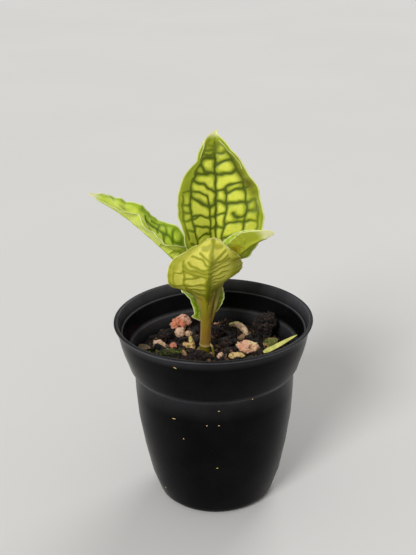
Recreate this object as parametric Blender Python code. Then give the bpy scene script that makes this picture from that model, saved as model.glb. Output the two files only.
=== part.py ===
"""Potted jewel orchid: a young plant with five leaves on one short stem, in a thin black nursery pot.

Metres, +Z up. The origin is the centre of the pot's flat underside, and -Y is the front.
"""

import math

import bmesh
import bpy
from mathutils import Matrix, Vector, noise

MM = 0.001
GAP = 0.3
SLIVER = 0.05
CUT_PAST = 2.0
SHARP_ANGLE = 40.0

# Pot, in millimetres. Its two profiles are pairs of radius and depth below the rim.
POT_HEIGHT = 88.5
POT_SIDES = 48
POT_OUTSIDE = (
    (22.6, 88.5),
    (25.6, 87.6),
    (27.6, 84.6),
    (30.6, 75.5),
    (33.4, 61.4),
    (35.6, 46.4),
    (36.4, 33.6),
    (36.6, 24.4),
    (38.9, 21.4),
    (39.9, 17.8),
    (41.2, 14.0),
    (42.2, 10.2),
    (43.2, 5.0),
    (43.7, 1.5),
    (44.7, 1.2),
    (45.0, 0.6),
    (44.6, 0.0),
)
POT_INSIDE = (
    (43.6, 0.0),
    (43.0, 0.5),
    (41.7, 5.2),
    (41.0, 5.5),
    (39.3, 12.5),
    (37.9, 13.9),
    (37.4, 21.6),
    (35.3, 24.8),
    (35.2, 33.6),
    (34.4, 46.4),
    (32.2, 61.4),
    (29.4, 75.5),
    (26.4, 84.6),
    (24.6, 87.0),
)
DRAIN_HOLES = 6
DRAIN_RADIUS = 3.0
DRAIN_CIRCLE = 14.0
DRAIN_SIDES = 12

# Potting mix: its mean level below the rim, the radii of the rings of its top, the drop of its
# edge, its waves as pitch, shift and height, and its mounds as x, y, radius and height
SOIL_DEPTH = 20.0
SOIL_SIDES = 40
SOIL_RINGS = (0.0, 5.0, 9.5, 14.0, 18.5, 23.0, 27.5, 32.0, 36.0)
SOIL_EDGE_DROP = 0.8
SOIL_WAVES = ((0.09, 3.0, 1.6), (0.23, 8.0, 1.3))
SOIL_MOUNDS = ((-6.2, -3.2, 4.2, 2.2), (8.0, 33.0, 6.0, 1.4), (-27.0, 22.0, 7.0, 1.4))

# Loose pieces on the mix: name, centre as x, y and height above the rim, three sizes, turn in
# degrees and colour. Each is sunk by up to a half of its height.
PINK = (0.55, 0.24, 0.16)
TAN = (0.52, 0.34, 0.20)
CREAM = (0.62, 0.48, 0.28)
BARK = (0.035, 0.024, 0.018)
MOSS = (0.06, 0.10, 0.02)
PIECES = (
    ("pumice_large", (-15.4, 27.0, -15.2), (11.6, 8.0, 8.2), 10, PINK),
    ("pumice_round", (-16.2, 20.2, -17.3), (4.8, 4.6, 4.6), 0, TAN),
    ("pumice_bit", (-11.9, 21.0, -18.4), (3.6, 3.2, 3.0), 30, PINK),
    ("pumice_forked", (-11.3, 6.9, -16.9), (6.4, 4.8, 7.4), 20, CREAM),
    ("pumice_left", (-25.2, 9.9, -18.4), (6.6, 5.0, 3.8), 0, TAN),
    ("pumice_orange", (-19.0, 8.4, -18.5), (3.7, 3.4, 3.0), 0, PINK),
    ("pumice_right", (15.8, 4.1, -17.7), (12.0, 6.0, 6.0), -12, TAN),
    ("pumice_pale", (10.5, -2.4, -18.7), (8.2, 4.2, 3.0), 4, CREAM),
    ("pumice_small", (2.8, -2.3, -18.6), (3.2, 3.0, 3.2), 0, TAN),
    ("pumice_chip", (1.8, 31.0, -18.8), (3.0, 2.8, 2.4), 0, PINK),
    ("bark_left", (-23.2, 17.2, -17.4), (7.4, 6.6, 6.2), 15, BARK),
    ("bark_middle", (2.4, 18.6, -17.2), (9.4, 8.0, 7.4), -20, BARK),
    ("bark_front", (5.2, 8.6, -17.6), (8.8, 7.0, 6.4), 25, BARK),
    ("bark_lump", (24.8, 18.8, -13.9), (13.0, 11.4, 13.2), 0, BARK),
    ("mossy_piece", (26.6, 8.4, -17.8), (7.4, 5.0, 4.4), -8, MOSS),
    ("moss_patch", (-21.0, 2.4, -19.3), (12.0, 5.6, 3.0), 6, MOSS),
)
PIECE_ROUGHNESS = 0.16
PIECE_LUMPS = 1.6
PIECE_SHIFT = 7.3

# A bit of dead root and two dry leaf strips: points along the middle. A strip's taper says
# which stretch of half a sine wave its width follows.
ROOT_PIECE = ((8.0, 28.6, -17.8), (11.7, 26.9, -17.0), (15.0, 22.0, -17.6), (16.4, 16.2, -18.9))
ROOT_PIECE_RADII = (1.2, 1.6, 1.6, 1.3)
ROOT_PIECE_SIDES = 8
STRIP_RIGHT = ((22.8, 0.0, -18.6), (28.0, 0.6, -16.4), (33.2, 1.8, -14.0), (38.5, 3.1, -11.5))
STRIP_LEFT = ((-35.2, 6.4, -18.4), (-32.2, 6.2, -18.0), (-29.2, 6.0, -18.2))
STRIP_ROWS = 6
STRIP_WIDTH = 3.2
STRIP_THICKNESS = 0.7
STRIP_TAPER = (0.18, 0.88)
STRIP_ACROSS = (0.0, 0.8, 0.6)

# Stem: axis points, as x, y and height above the rim, each with its radius
STEM = (
    (-4.3, 1.4, -29.0, 1.9),
    (-4.1, 1.3, -20.0, 2.5),
    (-4.0, 1.2, -15.4, 2.5),
    (-3.9, 1.1, -14.2, 2.9),
    (-3.8, 1.0, -13.0, 2.5),
    (-3.5, 0.7, -6.0, 2.4),
    (-3.1, 0.1, 4.0, 2.3),
    (-3.0, -0.2, 6.4, 2.2),
)
STEM_SIDES = 12
STEM_HOLE_DEPTH = 11.0
STEM_HOLE_PLAY = 0.5
ROOT = ((-2.4, 0.8, -13.6), (-0.9, -0.6, -14.6), (-0.3, -1.6, -17.0), (0.0, -2.1, -19.2))
ROOT_RADIUS = 0.5
ROOT_SIDES = 6

# Leaves: a slab of this many rows and columns, bent to shape. The stalk's section is a rod
# made of two arcs, each reaching this many degrees to either side, and it turns into the
# blade over the first rows.
STALK_ROWS = 4
BLADE_ROWS = 21
BLADE_COLUMNS = 8
BLEND_ROWS = 3
BLADE_THICKNESS = 0.8
MIDRIB_HEIGHT = 0.8
MIDRIB_SPREAD = 1.6
STALK_RADIUS = 1.2
STALK_ARC = 80.0
STRAIGHT = 0.0001

GREEN = (0.36, 0.52, 0.06)
DEEP_GREEN = (0.20, 0.36, 0.04)
OLIVE = (0.50, 0.49, 0.10)


def metres(points):
    """Points in millimetres as vectors in metres."""
    return [Vector(point) * MM for point in points]


def through(values, place):
    """Reads a smooth curve through evenly spaced values at a place from 0 to 1."""
    last = len(values) - 1
    spot = min(max(place, 0.0), 1.0) * last
    i = min(int(spot), last - 1)
    t = spot - i
    b, c = values[i], values[i + 1]
    a = values[i - 1] if i > 0 else b * 2 - c
    d = values[i + 2] if i + 2 <= last else c * 2 - b
    bend = (a * 2 - b * 5 + c * 4 - d) * t + (b * 3 - a - c * 3 + d) * (t * t)
    return b + (c - a + bend) * (t * 0.5)


def material(name, colour, roughness, metallic=0.0):
    mat = bpy.data.materials.new(name)
    mat.use_nodes = True
    shader = mat.node_tree.nodes["Principled BSDF"]
    shader.inputs["Base Color"].default_value = (*colour, 1.0)
    shader.inputs["Roughness"].default_value = roughness
    shader.inputs["Metallic"].default_value = metallic
    mat.diffuse_color = (*colour, 1.0)
    return mat


def add_object(name, bm, mat=None, parent=None):
    """Links a closed bmesh as a named object with its faces turned outwards."""
    if bm.calc_volume(signed=True) < 0:
        bmesh.ops.reverse_faces(bm, faces=bm.faces[:])
    mesh = bpy.data.meshes.new(name)
    bm.to_mesh(mesh)
    bm.free()
    mesh.shade_smooth()
    mesh.set_sharp_from_angle(angle=math.radians(SHARP_ANGLE))
    if mat is not None:
        mesh.materials.append(mat)
    obj = bpy.data.objects.new(name, mesh)
    obj.parent = parent
    bpy.context.scene.collection.objects.link(obj)
    return obj


def boolean(target, tools, operation):
    """Applies one Boolean with a collection of tools, then removes the tools."""
    group = bpy.data.collections.new("tools")
    bpy.context.scene.collection.children.link(group)
    for tool in tools:
        group.objects.link(tool)
    cut = target.modifiers.new("cut", "BOOLEAN")
    cut.operation = operation
    cut.operand_type = "COLLECTION"
    cut.collection = group
    cut.solver = "EXACT"
    bpy.context.view_layer.update()
    depsgraph = bpy.context.evaluated_depsgraph_get()
    mesh = bpy.data.meshes.new_from_object(target.evaluated_get(depsgraph))
    target.modifiers.clear()
    target.data = mesh
    bm = bmesh.new()
    bm.from_mesh(mesh)
    bmesh.ops.triangulate(bm, faces=bm.faces[:])
    bmesh.ops.dissolve_degenerate(bm, edges=bm.edges[:], dist=SLIVER * MM)
    bm.to_mesh(mesh)
    bm.free()
    for tool in tools:
        bpy.data.objects.remove(tool)
    bpy.data.collections.remove(group)


def turned(profile, sides):
    """Spins a closed half profile of radius and height points, in millimetres, about Z."""
    bm = bmesh.new()
    verts = [bm.verts.new((r * MM, 0.0, z * MM)) for r, z in profile]
    edges = [bm.edges.new(pair) for pair in zip(verts, verts[1:])]
    bmesh.ops.spin(bm, geom=verts + edges, cent=(0, 0, 0), axis=(0, 0, 1),
                   angle=math.tau, steps=sides, use_merge=True)
    bmesh.ops.remove_doubles(bm, verts=bm.verts[:], dist=0.00001)
    return bm


def drill(x, y, low, high, radius, sides):
    """A cylinder that cuts a round hole from one height to another, in millimetres."""
    bm = bmesh.new()
    middle = Matrix.Translation(Vector((x, y, (low + high) / 2)) * MM)
    bmesh.ops.create_cone(bm, cap_ends=True, segments=sides, radius1=radius * MM,
                          radius2=radius * MM, depth=(high - low) * MM, matrix=middle)
    return add_object("drill", bm)


def tube(name, points, radii, sides, mat, parent):
    """A round rod through points in metres, with a radius in millimetres at each."""
    bm = bmesh.new()
    rings = []
    for i, (point, radius) in enumerate(zip(points, radii)):
        before, after = points[max(i - 1, 0)], points[min(i + 1, len(points) - 1)]
        turn = (after - before).to_track_quat("Z", "Y").to_matrix().to_4x4()
        place = Matrix.Translation(point) @ turn
        ring = bmesh.ops.create_circle(bm, segments=sides, radius=radius * MM, matrix=place)
        rings.append(ring["verts"])
    for low, high in zip(rings, rings[1:]):
        edges = {e for v in low + high for e in v.link_edges}
        loops = [e for e in edges if set(e.verts) <= set(low) or set(e.verts) <= set(high)]
        bmesh.ops.bridge_loops(bm, edges=loops)
    for end in (rings[0], rings[-1]):
        bmesh.ops.contextual_create(bm, geom=end)
    return add_object(name, bm, mat, parent)


def build_pot():
    """Thin moulded pot with a flared lip, two ledges inside and drain holes in the floor."""
    rise = [(r, POT_HEIGHT - depth) for r, depth in POT_OUTSIDE + POT_INSIDE]
    floor = rise[-1][1]
    profile = [(0.0, 0.0)] + rise + [(0.0, floor)]
    black = material("black_plastic", (0.012, 0.012, 0.013), 0.35)
    pot = add_object("pot", turned(profile, POT_SIDES), black)
    drills = []
    for i in range(DRAIN_HOLES):
        angle = math.tau * i / DRAIN_HOLES
        x, y = DRAIN_CIRCLE * math.cos(angle), DRAIN_CIRCLE * math.sin(angle)
        drills.append(drill(x, y, -CUT_PAST, floor + CUT_PAST, DRAIN_RADIUS, DRAIN_SIDES))
    boolean(pot, drills, "DIFFERENCE")


def wall_radius(depth):
    """The pot's inner radius at a depth below the rim."""
    for (high_radius, high), (low_radius, low) in zip(POT_INSIDE, POT_INSIDE[1:]):
        if high <= depth <= low:
            return high_radius + (low_radius - high_radius) * (depth - high) / (low - high)
    return POT_INSIDE[-1][0]


def soil_height(x, y):
    """Height of the mix above its mean level at x and y in millimetres."""
    height = 0.0
    for pitch, shift, rise in SOIL_WAVES:
        height += rise * noise.noise(Vector((x, y, shift)) * pitch)
    for mound_x, mound_y, radius, rise in SOIL_MOUNDS:
        height += rise * math.exp(-(((x - mound_x) ** 2 + (y - mound_y) ** 2) / radius ** 2))
    return height


def build_soil(seats):
    """The mix fills the pot, with a lumpy top, a hole for the stem and a seat for each stone."""
    level = POT_HEIGHT - SOIL_DEPTH
    edge_depth = SOIL_DEPTH + SOIL_EDGE_DROP
    edge = (wall_radius(edge_depth) - GAP, POT_HEIGHT - edge_depth)
    wall = [(r - GAP, POT_HEIGHT - depth) for r, depth in POT_INSIDE if depth > edge_depth]
    foot = (wall[-1][0] - GAP, wall[-1][1] + GAP)
    top = [(r, level) for r in SOIL_RINGS]
    bm = turned(top + [edge] + wall[:-1] + [foot, (0.0, foot[1])], SOIL_SIDES)
    for vert in bm.verts:
        if vert.co.z > (level - SOIL_EDGE_DROP / 2) * MM:
            vert.co.z += soil_height(vert.co.x / MM, vert.co.y / MM) * MM
    soil = add_object("potting_mix", bm, material("potting_mix", (0.035, 0.026, 0.020), 0.95))
    x, y, _, radius = STEM[1]
    hole = drill(x, y, level - STEM_HOLE_DEPTH, POT_HEIGHT, radius + STEM_HOLE_PLAY, STEM_SIDES)
    boolean(soil, seats + [hole], "DIFFERENCE")


def piece(name, centre, size, turn, shift, grow, mat, rim):
    """A rough stone of three sizes, set by its centre and turn; grow adds to each size."""
    bm = bmesh.new()
    bmesh.ops.create_icosphere(bm, subdivisions=2, radius=1.0)
    for vert in bm.verts:
        lumps = noise.noise(vert.co * PIECE_LUMPS + Vector((shift, 0, 0)))
        vert.co *= 1 + PIECE_ROUGHNESS * lumps
    stretch = Matrix.Diagonal([(length + grow) / 2 * MM for length in size])
    bmesh.ops.transform(bm, matrix=stretch.to_4x4(), verts=bm.verts[:])
    obj = add_object(name, bm, mat, rim)
    obj.location = Vector(centre) * MM
    obj.rotation_euler.z = math.radians(turn)
    return obj


def build_pieces(rim):
    """Stones, bark and moss on the mix. Returns what their seats are cut with."""
    seats = []
    for i, (name, centre, size, turn, colour) in enumerate(PIECES):
        shift = i * PIECE_SHIFT
        piece(name, centre, size, turn, shift, 0.0, material(name, colour, 0.9), rim)
        seats.append(piece("seat", centre, size, turn, shift, 2 * GAP, None, rim))
    return seats


def strip(name, line, grow, mat, rim):
    """A thin dry strip along a line of points in metres, with blunt ends."""
    bm = bmesh.new()
    bmesh.ops.create_grid(bm, x_segments=STRIP_ROWS, y_segments=2, size=0.5)
    bmesh.ops.triangulate(bm, faces=bm.faces[:], quad_method="FIXED")
    bmesh.ops.solidify(bm, geom=bm.faces[:] + bm.edges[:] + bm.verts[:], thickness=1.0)
    step = 1 / STRIP_ROWS
    start, end = STRIP_TAPER
    for vert in bm.verts:
        place = vert.co.x + 0.5
        along = (through(line, place + step) - through(line, place - step)).normalized()
        across = Vector(STRIP_ACROSS)
        across = (across - along * across.dot(along)).normalized()
        up = across.cross(along)
        width = STRIP_WIDTH * math.sin(math.pi * (start + (end - start) * place)) + grow
        thick = STRIP_THICKNESS + grow
        offset = across * (vert.co.y * width) + up * ((vert.co.z + 0.5) * thick)
        vert.co = through(line, place) + (along * (vert.co.x * grow) + offset) * MM
    return add_object(name, bm, mat, rim)


def build_strips(rim):
    """A curved bit of root and two dry leaf strips. Returns what their seats are cut with."""
    dry = material("dry_leaf", (0.46, 0.42, 0.14), 0.7)
    tan = material("root_piece", TAN, 0.8)
    points = metres(ROOT_PIECE)
    tube("root_piece", points, ROOT_PIECE_RADII, ROOT_PIECE_SIDES, tan, rim)
    wider = [radius + GAP for radius in ROOT_PIECE_RADII]
    first = points[0] + (points[0] - points[1]).normalized() * GAP * MM
    last = points[-1] + (points[-1] - points[-2]).normalized() * GAP * MM
    longer = [first] + points[1:-1] + [last]
    seats = [tube("seat", longer, wider, ROOT_PIECE_SIDES, None, rim)]
    for name, line in (("dry_strip_right", STRIP_RIGHT), ("dry_strip_left", STRIP_LEFT)):
        strip(name, metres(line), 0.0, dry, rim)
        seats.append(strip("seat", metres(line), 2 * GAP, None, rim))
    return seats


def build_stem(rim):
    """The stem stands in its hole, with one swollen joint and a thin root beside it."""
    mat = material("stem", (0.46, 0.42, 0.14), 0.45)
    points = metres((x, y, height) for x, y, height, _ in STEM)
    stem = tube("stem", points, [radius for *_, radius in STEM], STEM_SIDES, mat, rim)
    root = tube("root", metres(ROOT), [ROOT_RADIUS] * len(ROOT), ROOT_SIDES, None, rim)
    boolean(stem, [root], "UNION")


def arc(length, start, turn):
    """How far out and up a line reaches that starts at an angle and turns evenly."""
    turn += STRAIGHT
    out = length * (math.sin(start + turn) - math.sin(start)) / turn
    lift = length * (math.cos(start) - math.cos(start + turn)) / turn
    return out, lift


def leaf(name, rim, colour, stalk, rib, face, widths, fold_left, fold_right, cup, ruffle):
    """Bends a thin slab into a stalk and a blade.

    stalk and rib are points up to the blade and along its midrib, in millimetres from the
    rim, and face is the way the upper face looks from the foot to the tip. widths are half
    widths, and the folds are the degrees by which each half rises from flat. All of them are
    evenly spaced from foot to tip. cup bends each half further, in degrees. ruffle is the
    height, the number and the shift of the waves along the margins.
    """
    rib = metres(rib)
    stalk = metres(stalk) + rib[:1]
    face = [Vector(way) for way in face]
    wave_height, wave_count, wave_shift = ruffle
    rows = STALK_ROWS + BLADE_ROWS
    bm = bmesh.new()
    bmesh.ops.create_grid(bm, x_segments=rows, y_segments=BLADE_COLUMNS, size=0.5)
    bmesh.ops.triangulate(bm, faces=bm.faces[:], quad_method="FIXED")
    bmesh.ops.solidify(bm, geom=bm.faces[:] + bm.edges[:] + bm.verts[:], thickness=1.0)

    def spine(row):
        if row <= STALK_ROWS:
            return through(stalk, row / STALK_ROWS)
        return through(rib, (row - STALK_ROWS) / BLADE_ROWS)

    for vert in bm.verts:
        row = round((vert.co.x + 0.5) * rows)
        place = max(row - STALK_ROWS, 0) / BLADE_ROWS
        part = abs(vert.co.y) * 2
        sign = -1 if vert.co.y < 0 else 1
        upper = vert.co.z > -0.5
        along = (spine(min(row + 0.5, rows)) - spine(max(row - 0.5, 0))).normalized()
        up = through(face, place)
        up = (up - along * up.dot(along)).normalized()
        side = along.cross(up)

        # The blade: each half rises at its fold, bends by the cup and waves at its margin.
        half = through(widths, place)
        fold = math.radians(through(fold_left if sign < 0 else fold_right, place))
        bend = math.radians(cup) * part
        out, lift = arc(half * part, fold, bend)
        wave = math.sin(math.tau * (wave_count * place + wave_shift * (1 + sign)))
        offset = wave_height * wave * math.sin(math.pi * place) * part ** 3
        if not upper:
            ridge = MIDRIB_HEIGHT * math.exp(-((part * half / MIDRIB_SPREAD) ** 2))
            offset -= BLADE_THICKNESS + ridge * (1 - place)
        tilt = fold + bend if part > 0 else 0.0
        out -= offset * math.sin(tilt)
        lift += offset * math.cos(tilt)

        # The stalk: a round rod that turns into the blade.
        angle = math.radians(STALK_ARC) * part
        rod_out = STALK_RADIUS * math.sin(angle)
        rod_lift = STALK_RADIUS * math.cos(angle) * (1 if upper else -1) - BLADE_THICKNESS / 2
        blend = min(max((row - STALK_ROWS + 1) / BLEND_ROWS, 0.0), 1.0)
        out = rod_out + (out - rod_out) * blend
        lift = rod_lift + (lift - rod_lift) * blend
        vert.co = spine(row) + (side * (sign * out) + up * lift) * MM
    add_object(name, bm, material(name, colour, 0.45), rim)


def build_leaves(rim):
    """Five leaves round the top of the stem, each with its own stalk."""
    leaf("leaf_back", rim, GREEN,
         stalk=((-2.1, 4.0, 1.8), (-1.8, 5.6, 8.0), (-0.5, 8.4, 15.0)),
         rib=((1.2, 11.0, 20.2), (2.4, 13.5, 40.8), (2.6, 17.0, 61.0), (2.8, 22.0, 80.9)),
         face=((0.1, -1.0, 0.15), (0.1, -1.0, 0.2)),
         widths=(4.0, 17.2, 20.8, 20.8, 18.9, 12.9, 7.2, 0.5),
         fold_left=(45, 38, 21, 19), fold_right=(20, 7, 0, 45),
         cup=0, ruffle=(0.8, 4.5, 0.2))
    leaf("leaf_left", rim, GREEN,
         stalk=((-4.9, 3.5, 3.6), (-5.7, 5.0, 9.6), (-8.4, 6.3, 16.0)),
         rib=((-12.6, 7.0, 22.0), (-25.2, 5.3, 35.8), (-38.2, 2.6, 48.9), (-52.7, -0.5, 59.6)),
         face=((0.4, -0.2, 1.0), (0.3, -0.2, 1.0)),
         widths=(3.0, 12.0, 12.6, 9.8, 8.0, 5.5, 0.6),
         fold_left=(60, 55, 35, 55, 30, 45), fold_right=(40, 50, 20, 52, 28, 40),
         cup=0, ruffle=(0.8, 4.0, 0.1))
    leaf("leaf_front", rim, OLIVE,
         stalk=((-3.0, -0.2, 7.0), (-3.0, -0.4, 8.0)),
         rib=((-2.9, -1.0, 9.0), (-2.4, -3.8, 13.4), (-2.0, -6.2, 19.2), (-1.3, -7.6, 25.2),
              (-0.3, -7.8, 31.5), (0.4, -6.0, 36.8), (1.0, -2.0, 38.6), (1.6, 2.0, 35.8)),
         face=((0, 1, 0.1), (0, 1, 0.1), (0, 1, 0), (0, 1, -0.2), (0, 0.3, -0.9), (0, -0.6, -0.6)),
         widths=(2.2, 12.0, 17.7, 18.6, 15.5, 10.6, 5.6, 1.0),
         fold_left=(45, 30, 34, 10, 0), fold_right=(8, -5, 0, 5, 0),
         cup=12, ruffle=(0.5, 3.0, 0.0))
    leaf("leaf_right", rim, GREEN,
         stalk=((0.1, 2.2, -1.5), (1.0, 3.2, 5.0), (2.8, 5.0, 12.0)),
         rib=((6.1, 6.5, 19.8), (12.1, 5.3, 28.0), (18.8, 1.7, 34.8), (27.2, -2.0, 39.8)),
         face=((-0.4, -0.1, 1.0), (-0.2, -0.1, 1.0)),
         widths=(2.5, 8.5, 8.8, 7.4, 4.4, 0.7),
         fold_left=(70, 66, 70, 72), fold_right=(70, 66, 70, 72),
         cup=0, ruffle=(0.3, 3.0, 0.3))
    leaf("leaf_low", rim, DEEP_GREEN,
         stalk=((-3.8, 4.6, -9.0), (-3.8, 4.5, -6.5)),
         rib=((-3.8, 5.0, -4.5), (-4.0, 10.0, 2.4), (-3.8, 16.7, 8.1), (-3.0, 23.0, 14.4)),
         face=((0.0, -1.0, 0.7), (0.0, -1.0, 0.7)),
         widths=(3.0, 6.3, 9.0, 10.0, 7.0, 0.6),
         fold_left=(10, 25, 5, 15), fold_right=(30, 25, 35, 10),
         cup=0, ruffle=(0.7, 3.0, 0.2))


def build_parts():
    for obj in list(bpy.data.objects):
        bpy.data.objects.remove(obj)
    rim = bpy.data.objects.new("rim", None)
    rim.location.z = POT_HEIGHT * MM
    bpy.context.scene.collection.objects.link(rim)
    build_pot()
    build_soil(build_pieces(rim) + build_strips(rim))
    build_stem(rim)
    build_leaves(rim)


build_parts()
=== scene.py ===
"""Looks of the potted jewel orchid: net-veined leaves, stem, loose mix and thin black pot.

Sizes are in millimetres and become metres when a mesh is finished. Places on the plant and on
the mix are x, y and height above the pot's rim.
"""

import math
import random

import bmesh
import bpy
import numpy as np
from mathutils import Matrix, Vector, noise


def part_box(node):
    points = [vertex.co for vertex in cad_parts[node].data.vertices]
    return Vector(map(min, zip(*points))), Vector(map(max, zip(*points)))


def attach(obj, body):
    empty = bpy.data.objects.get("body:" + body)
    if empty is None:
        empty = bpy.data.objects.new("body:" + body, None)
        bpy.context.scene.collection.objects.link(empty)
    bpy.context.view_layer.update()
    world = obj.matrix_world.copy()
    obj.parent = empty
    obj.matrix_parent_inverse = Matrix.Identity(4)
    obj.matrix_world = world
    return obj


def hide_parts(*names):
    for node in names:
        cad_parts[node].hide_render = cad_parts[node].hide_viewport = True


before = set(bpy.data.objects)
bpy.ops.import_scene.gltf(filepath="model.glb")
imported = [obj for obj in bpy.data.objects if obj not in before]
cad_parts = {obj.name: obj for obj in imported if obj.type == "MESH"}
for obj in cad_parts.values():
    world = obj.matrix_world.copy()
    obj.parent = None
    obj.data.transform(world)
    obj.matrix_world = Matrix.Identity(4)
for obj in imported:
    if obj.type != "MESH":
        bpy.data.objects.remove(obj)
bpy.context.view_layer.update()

MM = 0.001
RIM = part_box("pot")[1].z / MM

# The photograph's frame and the camera fitted to it: the rim's centre shows at RIM_PIXEL
PHOTO_WIDTH = 416
PHOTO_HEIGHT = 555
RIM_PIXEL = (212.4, 316.7)
FOCAL_PIXELS = 994.2
CAMERA_DISTANCE = 450.0
CAMERA_ELEVATION = 24.92
CAMERA_ROLL = 1.13
SENSOR = 36.0

# Studio: the floor's half side in metres and its tones, the sky, and soft suns as where they stand,
# how many degrees wide they are, and their strength
FLOOR_REACH = 60.0
FLOOR_TONES = ((0.70, 0.695, 0.68), (0.72, 0.715, 0.70))
SKY_COLOUR = (1.0, 0.99, 0.97, 1.0)
SKY_STRENGTH = 0.42
SUNS = (("key", (-0.45, -0.8, 0.62), 20, 1.9), ("back", (0.35, 0.75, 0.75), 30, 0.9))

# Pot profiles as pairs of radius and depth below the rim, outside upwards and inside downwards
POT_SIDES = 160
POT_SHARP_ANGLE = 50
POT_OUTSIDE = (
    (22.6, 88.5), (25.0, 88.1), (25.6, 87.6), (27.0, 86.2), (27.6, 84.6), (30.6, 75.5), (33.4, 61.4),
    (35.6, 46.4), (36.4, 33.6), (36.6, 24.8), (36.8, 24.0), (38.6, 21.8), (38.9, 21.2), (39.9, 17.8),
    (41.2, 14.0), (42.2, 10.2), (43.2, 5.0), (43.65, 1.9), (43.8, 1.5), (44.6, 1.3), (44.9, 1.0),
    (45.0, 0.6), (44.9, 0.25), (44.6, 0.0),
)
POT_INSIDE = (
    (43.8, 0.0), (43.3, 0.15), (43.0, 0.6), (41.8, 5.0), (41.6, 5.25), (41.1, 5.45), (40.9, 5.8),
    (39.4, 12.2), (39.1, 12.7), (38.0, 13.7), (37.8, 14.3), (37.4, 21.6), (35.5, 24.4), (35.3, 25.0),
    (35.2, 33.6), (34.4, 46.4), (32.2, 61.4), (29.4, 75.5), (26.4, 84.6), (24.6, 87.0),
)
# Painted highlights, grey bands on the pot's lip and ledges: radius, depth, reach and strength
PAINTED_HIGHLIGHTS = ((43.3, 0.4, 0.8, 0.75), (44.9, 0.6, 0.4, 0.9), (41.5, 5.35, 0.32, 1.0), (38.0, 13.7, 0.9, 0.7),
        (36.6, 24.0, 1.0, 0.3), (43.8, 1.7, 0.35, 0.5))
# Small pale crumbs stuck to the pot's outside: angle in degrees, depth and length
FLECKS = ((-112.4, 4.6, 1.9), (-119.8, 34.0, 1.8), (-87.3, 27.9, 0.9), (-95.7, 35.2, 0.7),
          (-87.5, 35.2, 0.8), (-113.0, 43.4, 0.8), (-63.7, 24.2, 0.7), (-89.2, 58.4, 0.8),
          (-144.0, 79.3, 0.8))
FLECK_HALF_THICK = 0.12
FLECK_HALF_TALL = 0.22
DRAIN_HOLES = 6
DRAIN_RADIUS = 3.0
DRAIN_CIRCLE = 14.0
DRAIN_SIDES = 32
DRILL_SPARE = 3.0

# Potting mix: its mean level, waves as pitch, shift and height, and mounds as x, y, radius, height
SOIL_DEPTH = 20.0
SOIL_SIDES = 220
SOIL_RING_STEP = 0.55
SOIL_WAVES = ((0.09, 3.0, 1.6), (0.23, 8.0, 1.3), (0.6, 2.0, 0.7), (1.5, 5.0, 0.45))
SOIL_MOUNDS = ((-6.2, -3.2, 4.2, 2.2), (8.0, 33.0, 6.0, 1.4), (-27.0, 22.0, 7.0, 1.4))
SOIL_TOP = -18.1
SOIL_EDGE_DROP = 0.8
WALL_GAP = 0.3

# Loose crumbs: batches of count, least and most size and fineness, of which the second also heaps
# a mound of its own in front of the stem
CRUMB_WALL_GAP = 1.6
CRUMB_BATCHES = ((1300, 0.5, 1.1, 1), (460, 1.0, 2.3, 2), (130, 2.2, 4.2, 2))
MOUND_CRUMBS = (0, 90, 0)
MOUND_CENTRE = (-6.2, -3.9)
MOUND_REACH = (5.2, 1.9)
MOUND_FOOT = -19.0
MOUND_RISE = 3.4
FIBRE_COUNT = 130
FIBRE_REACH = 33.0
FIBRE_LENGTH = (2.0, 6.0)
FIBRE_RADIUS = (0.08, 0.17)

# Moss: leaves on each mossy node, and a carpet of them on the mix beside the patch
MOSS_LEAVES = (("moss_patch", 1100), ("mossy_piece", 160))
MOSS_CARPET = 900
MOSS_CENTRE = (-21.5, 4.6)
MOSS_REACH = (9.0, 4.2)

# Leaf slab, as the frame's leaves have it: rows along the stalk and the blade
STALK_ROWS = 4
BLADE_ROWS = 21
MIDRIB_HEIGHT = 0.8
MIDRIB_SPREAD = 1.6
STALK_ARC = 80.0
STRAIGHT = 0.0001
BLADE_THICKNESS = 0.5
MARGIN_THICKNESS = 0.2
PUCKER = 0.42
MARGIN_WAVE = 0.2
MARGIN_WAVES = 12.0
PALE_RIDGE = 0.25
VEIN_SWAY = 0.24
HALO_WIDTH = 1.9

# From where to where marks set in: from the edge in millimetres, by how much of a line lies near,
# or by place along the leaf and part of its half width
EDGE_FADE = (0.5, 2.4)
VEIN_RANGE = (0.06, 1.05)
HALO_RANGE = (0.2, 1.0)
PALE_RANGE = (0.15, 0.9)
STREAK_RANGE = (0.2, 0.9)
VEIN_FADE = (0.62, 0.82)
OUTER_PART = (0.45, 0.8)
TAPER_PLACE = (0.97, 1.0)


def pairs(text, units=(100, 100)):
    """Reads pairs such as "5 20, 10 40", each number as a share of its unit."""
    return [[float(number) / whole for number, whole in zip(pair.split(), units)]
            for pair in text.split(",")]


def lines(rows):
    """Reads rows of a line's width and the pairs that it runs through."""
    return [(width, pairs(text)) for width, text in rows]


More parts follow.
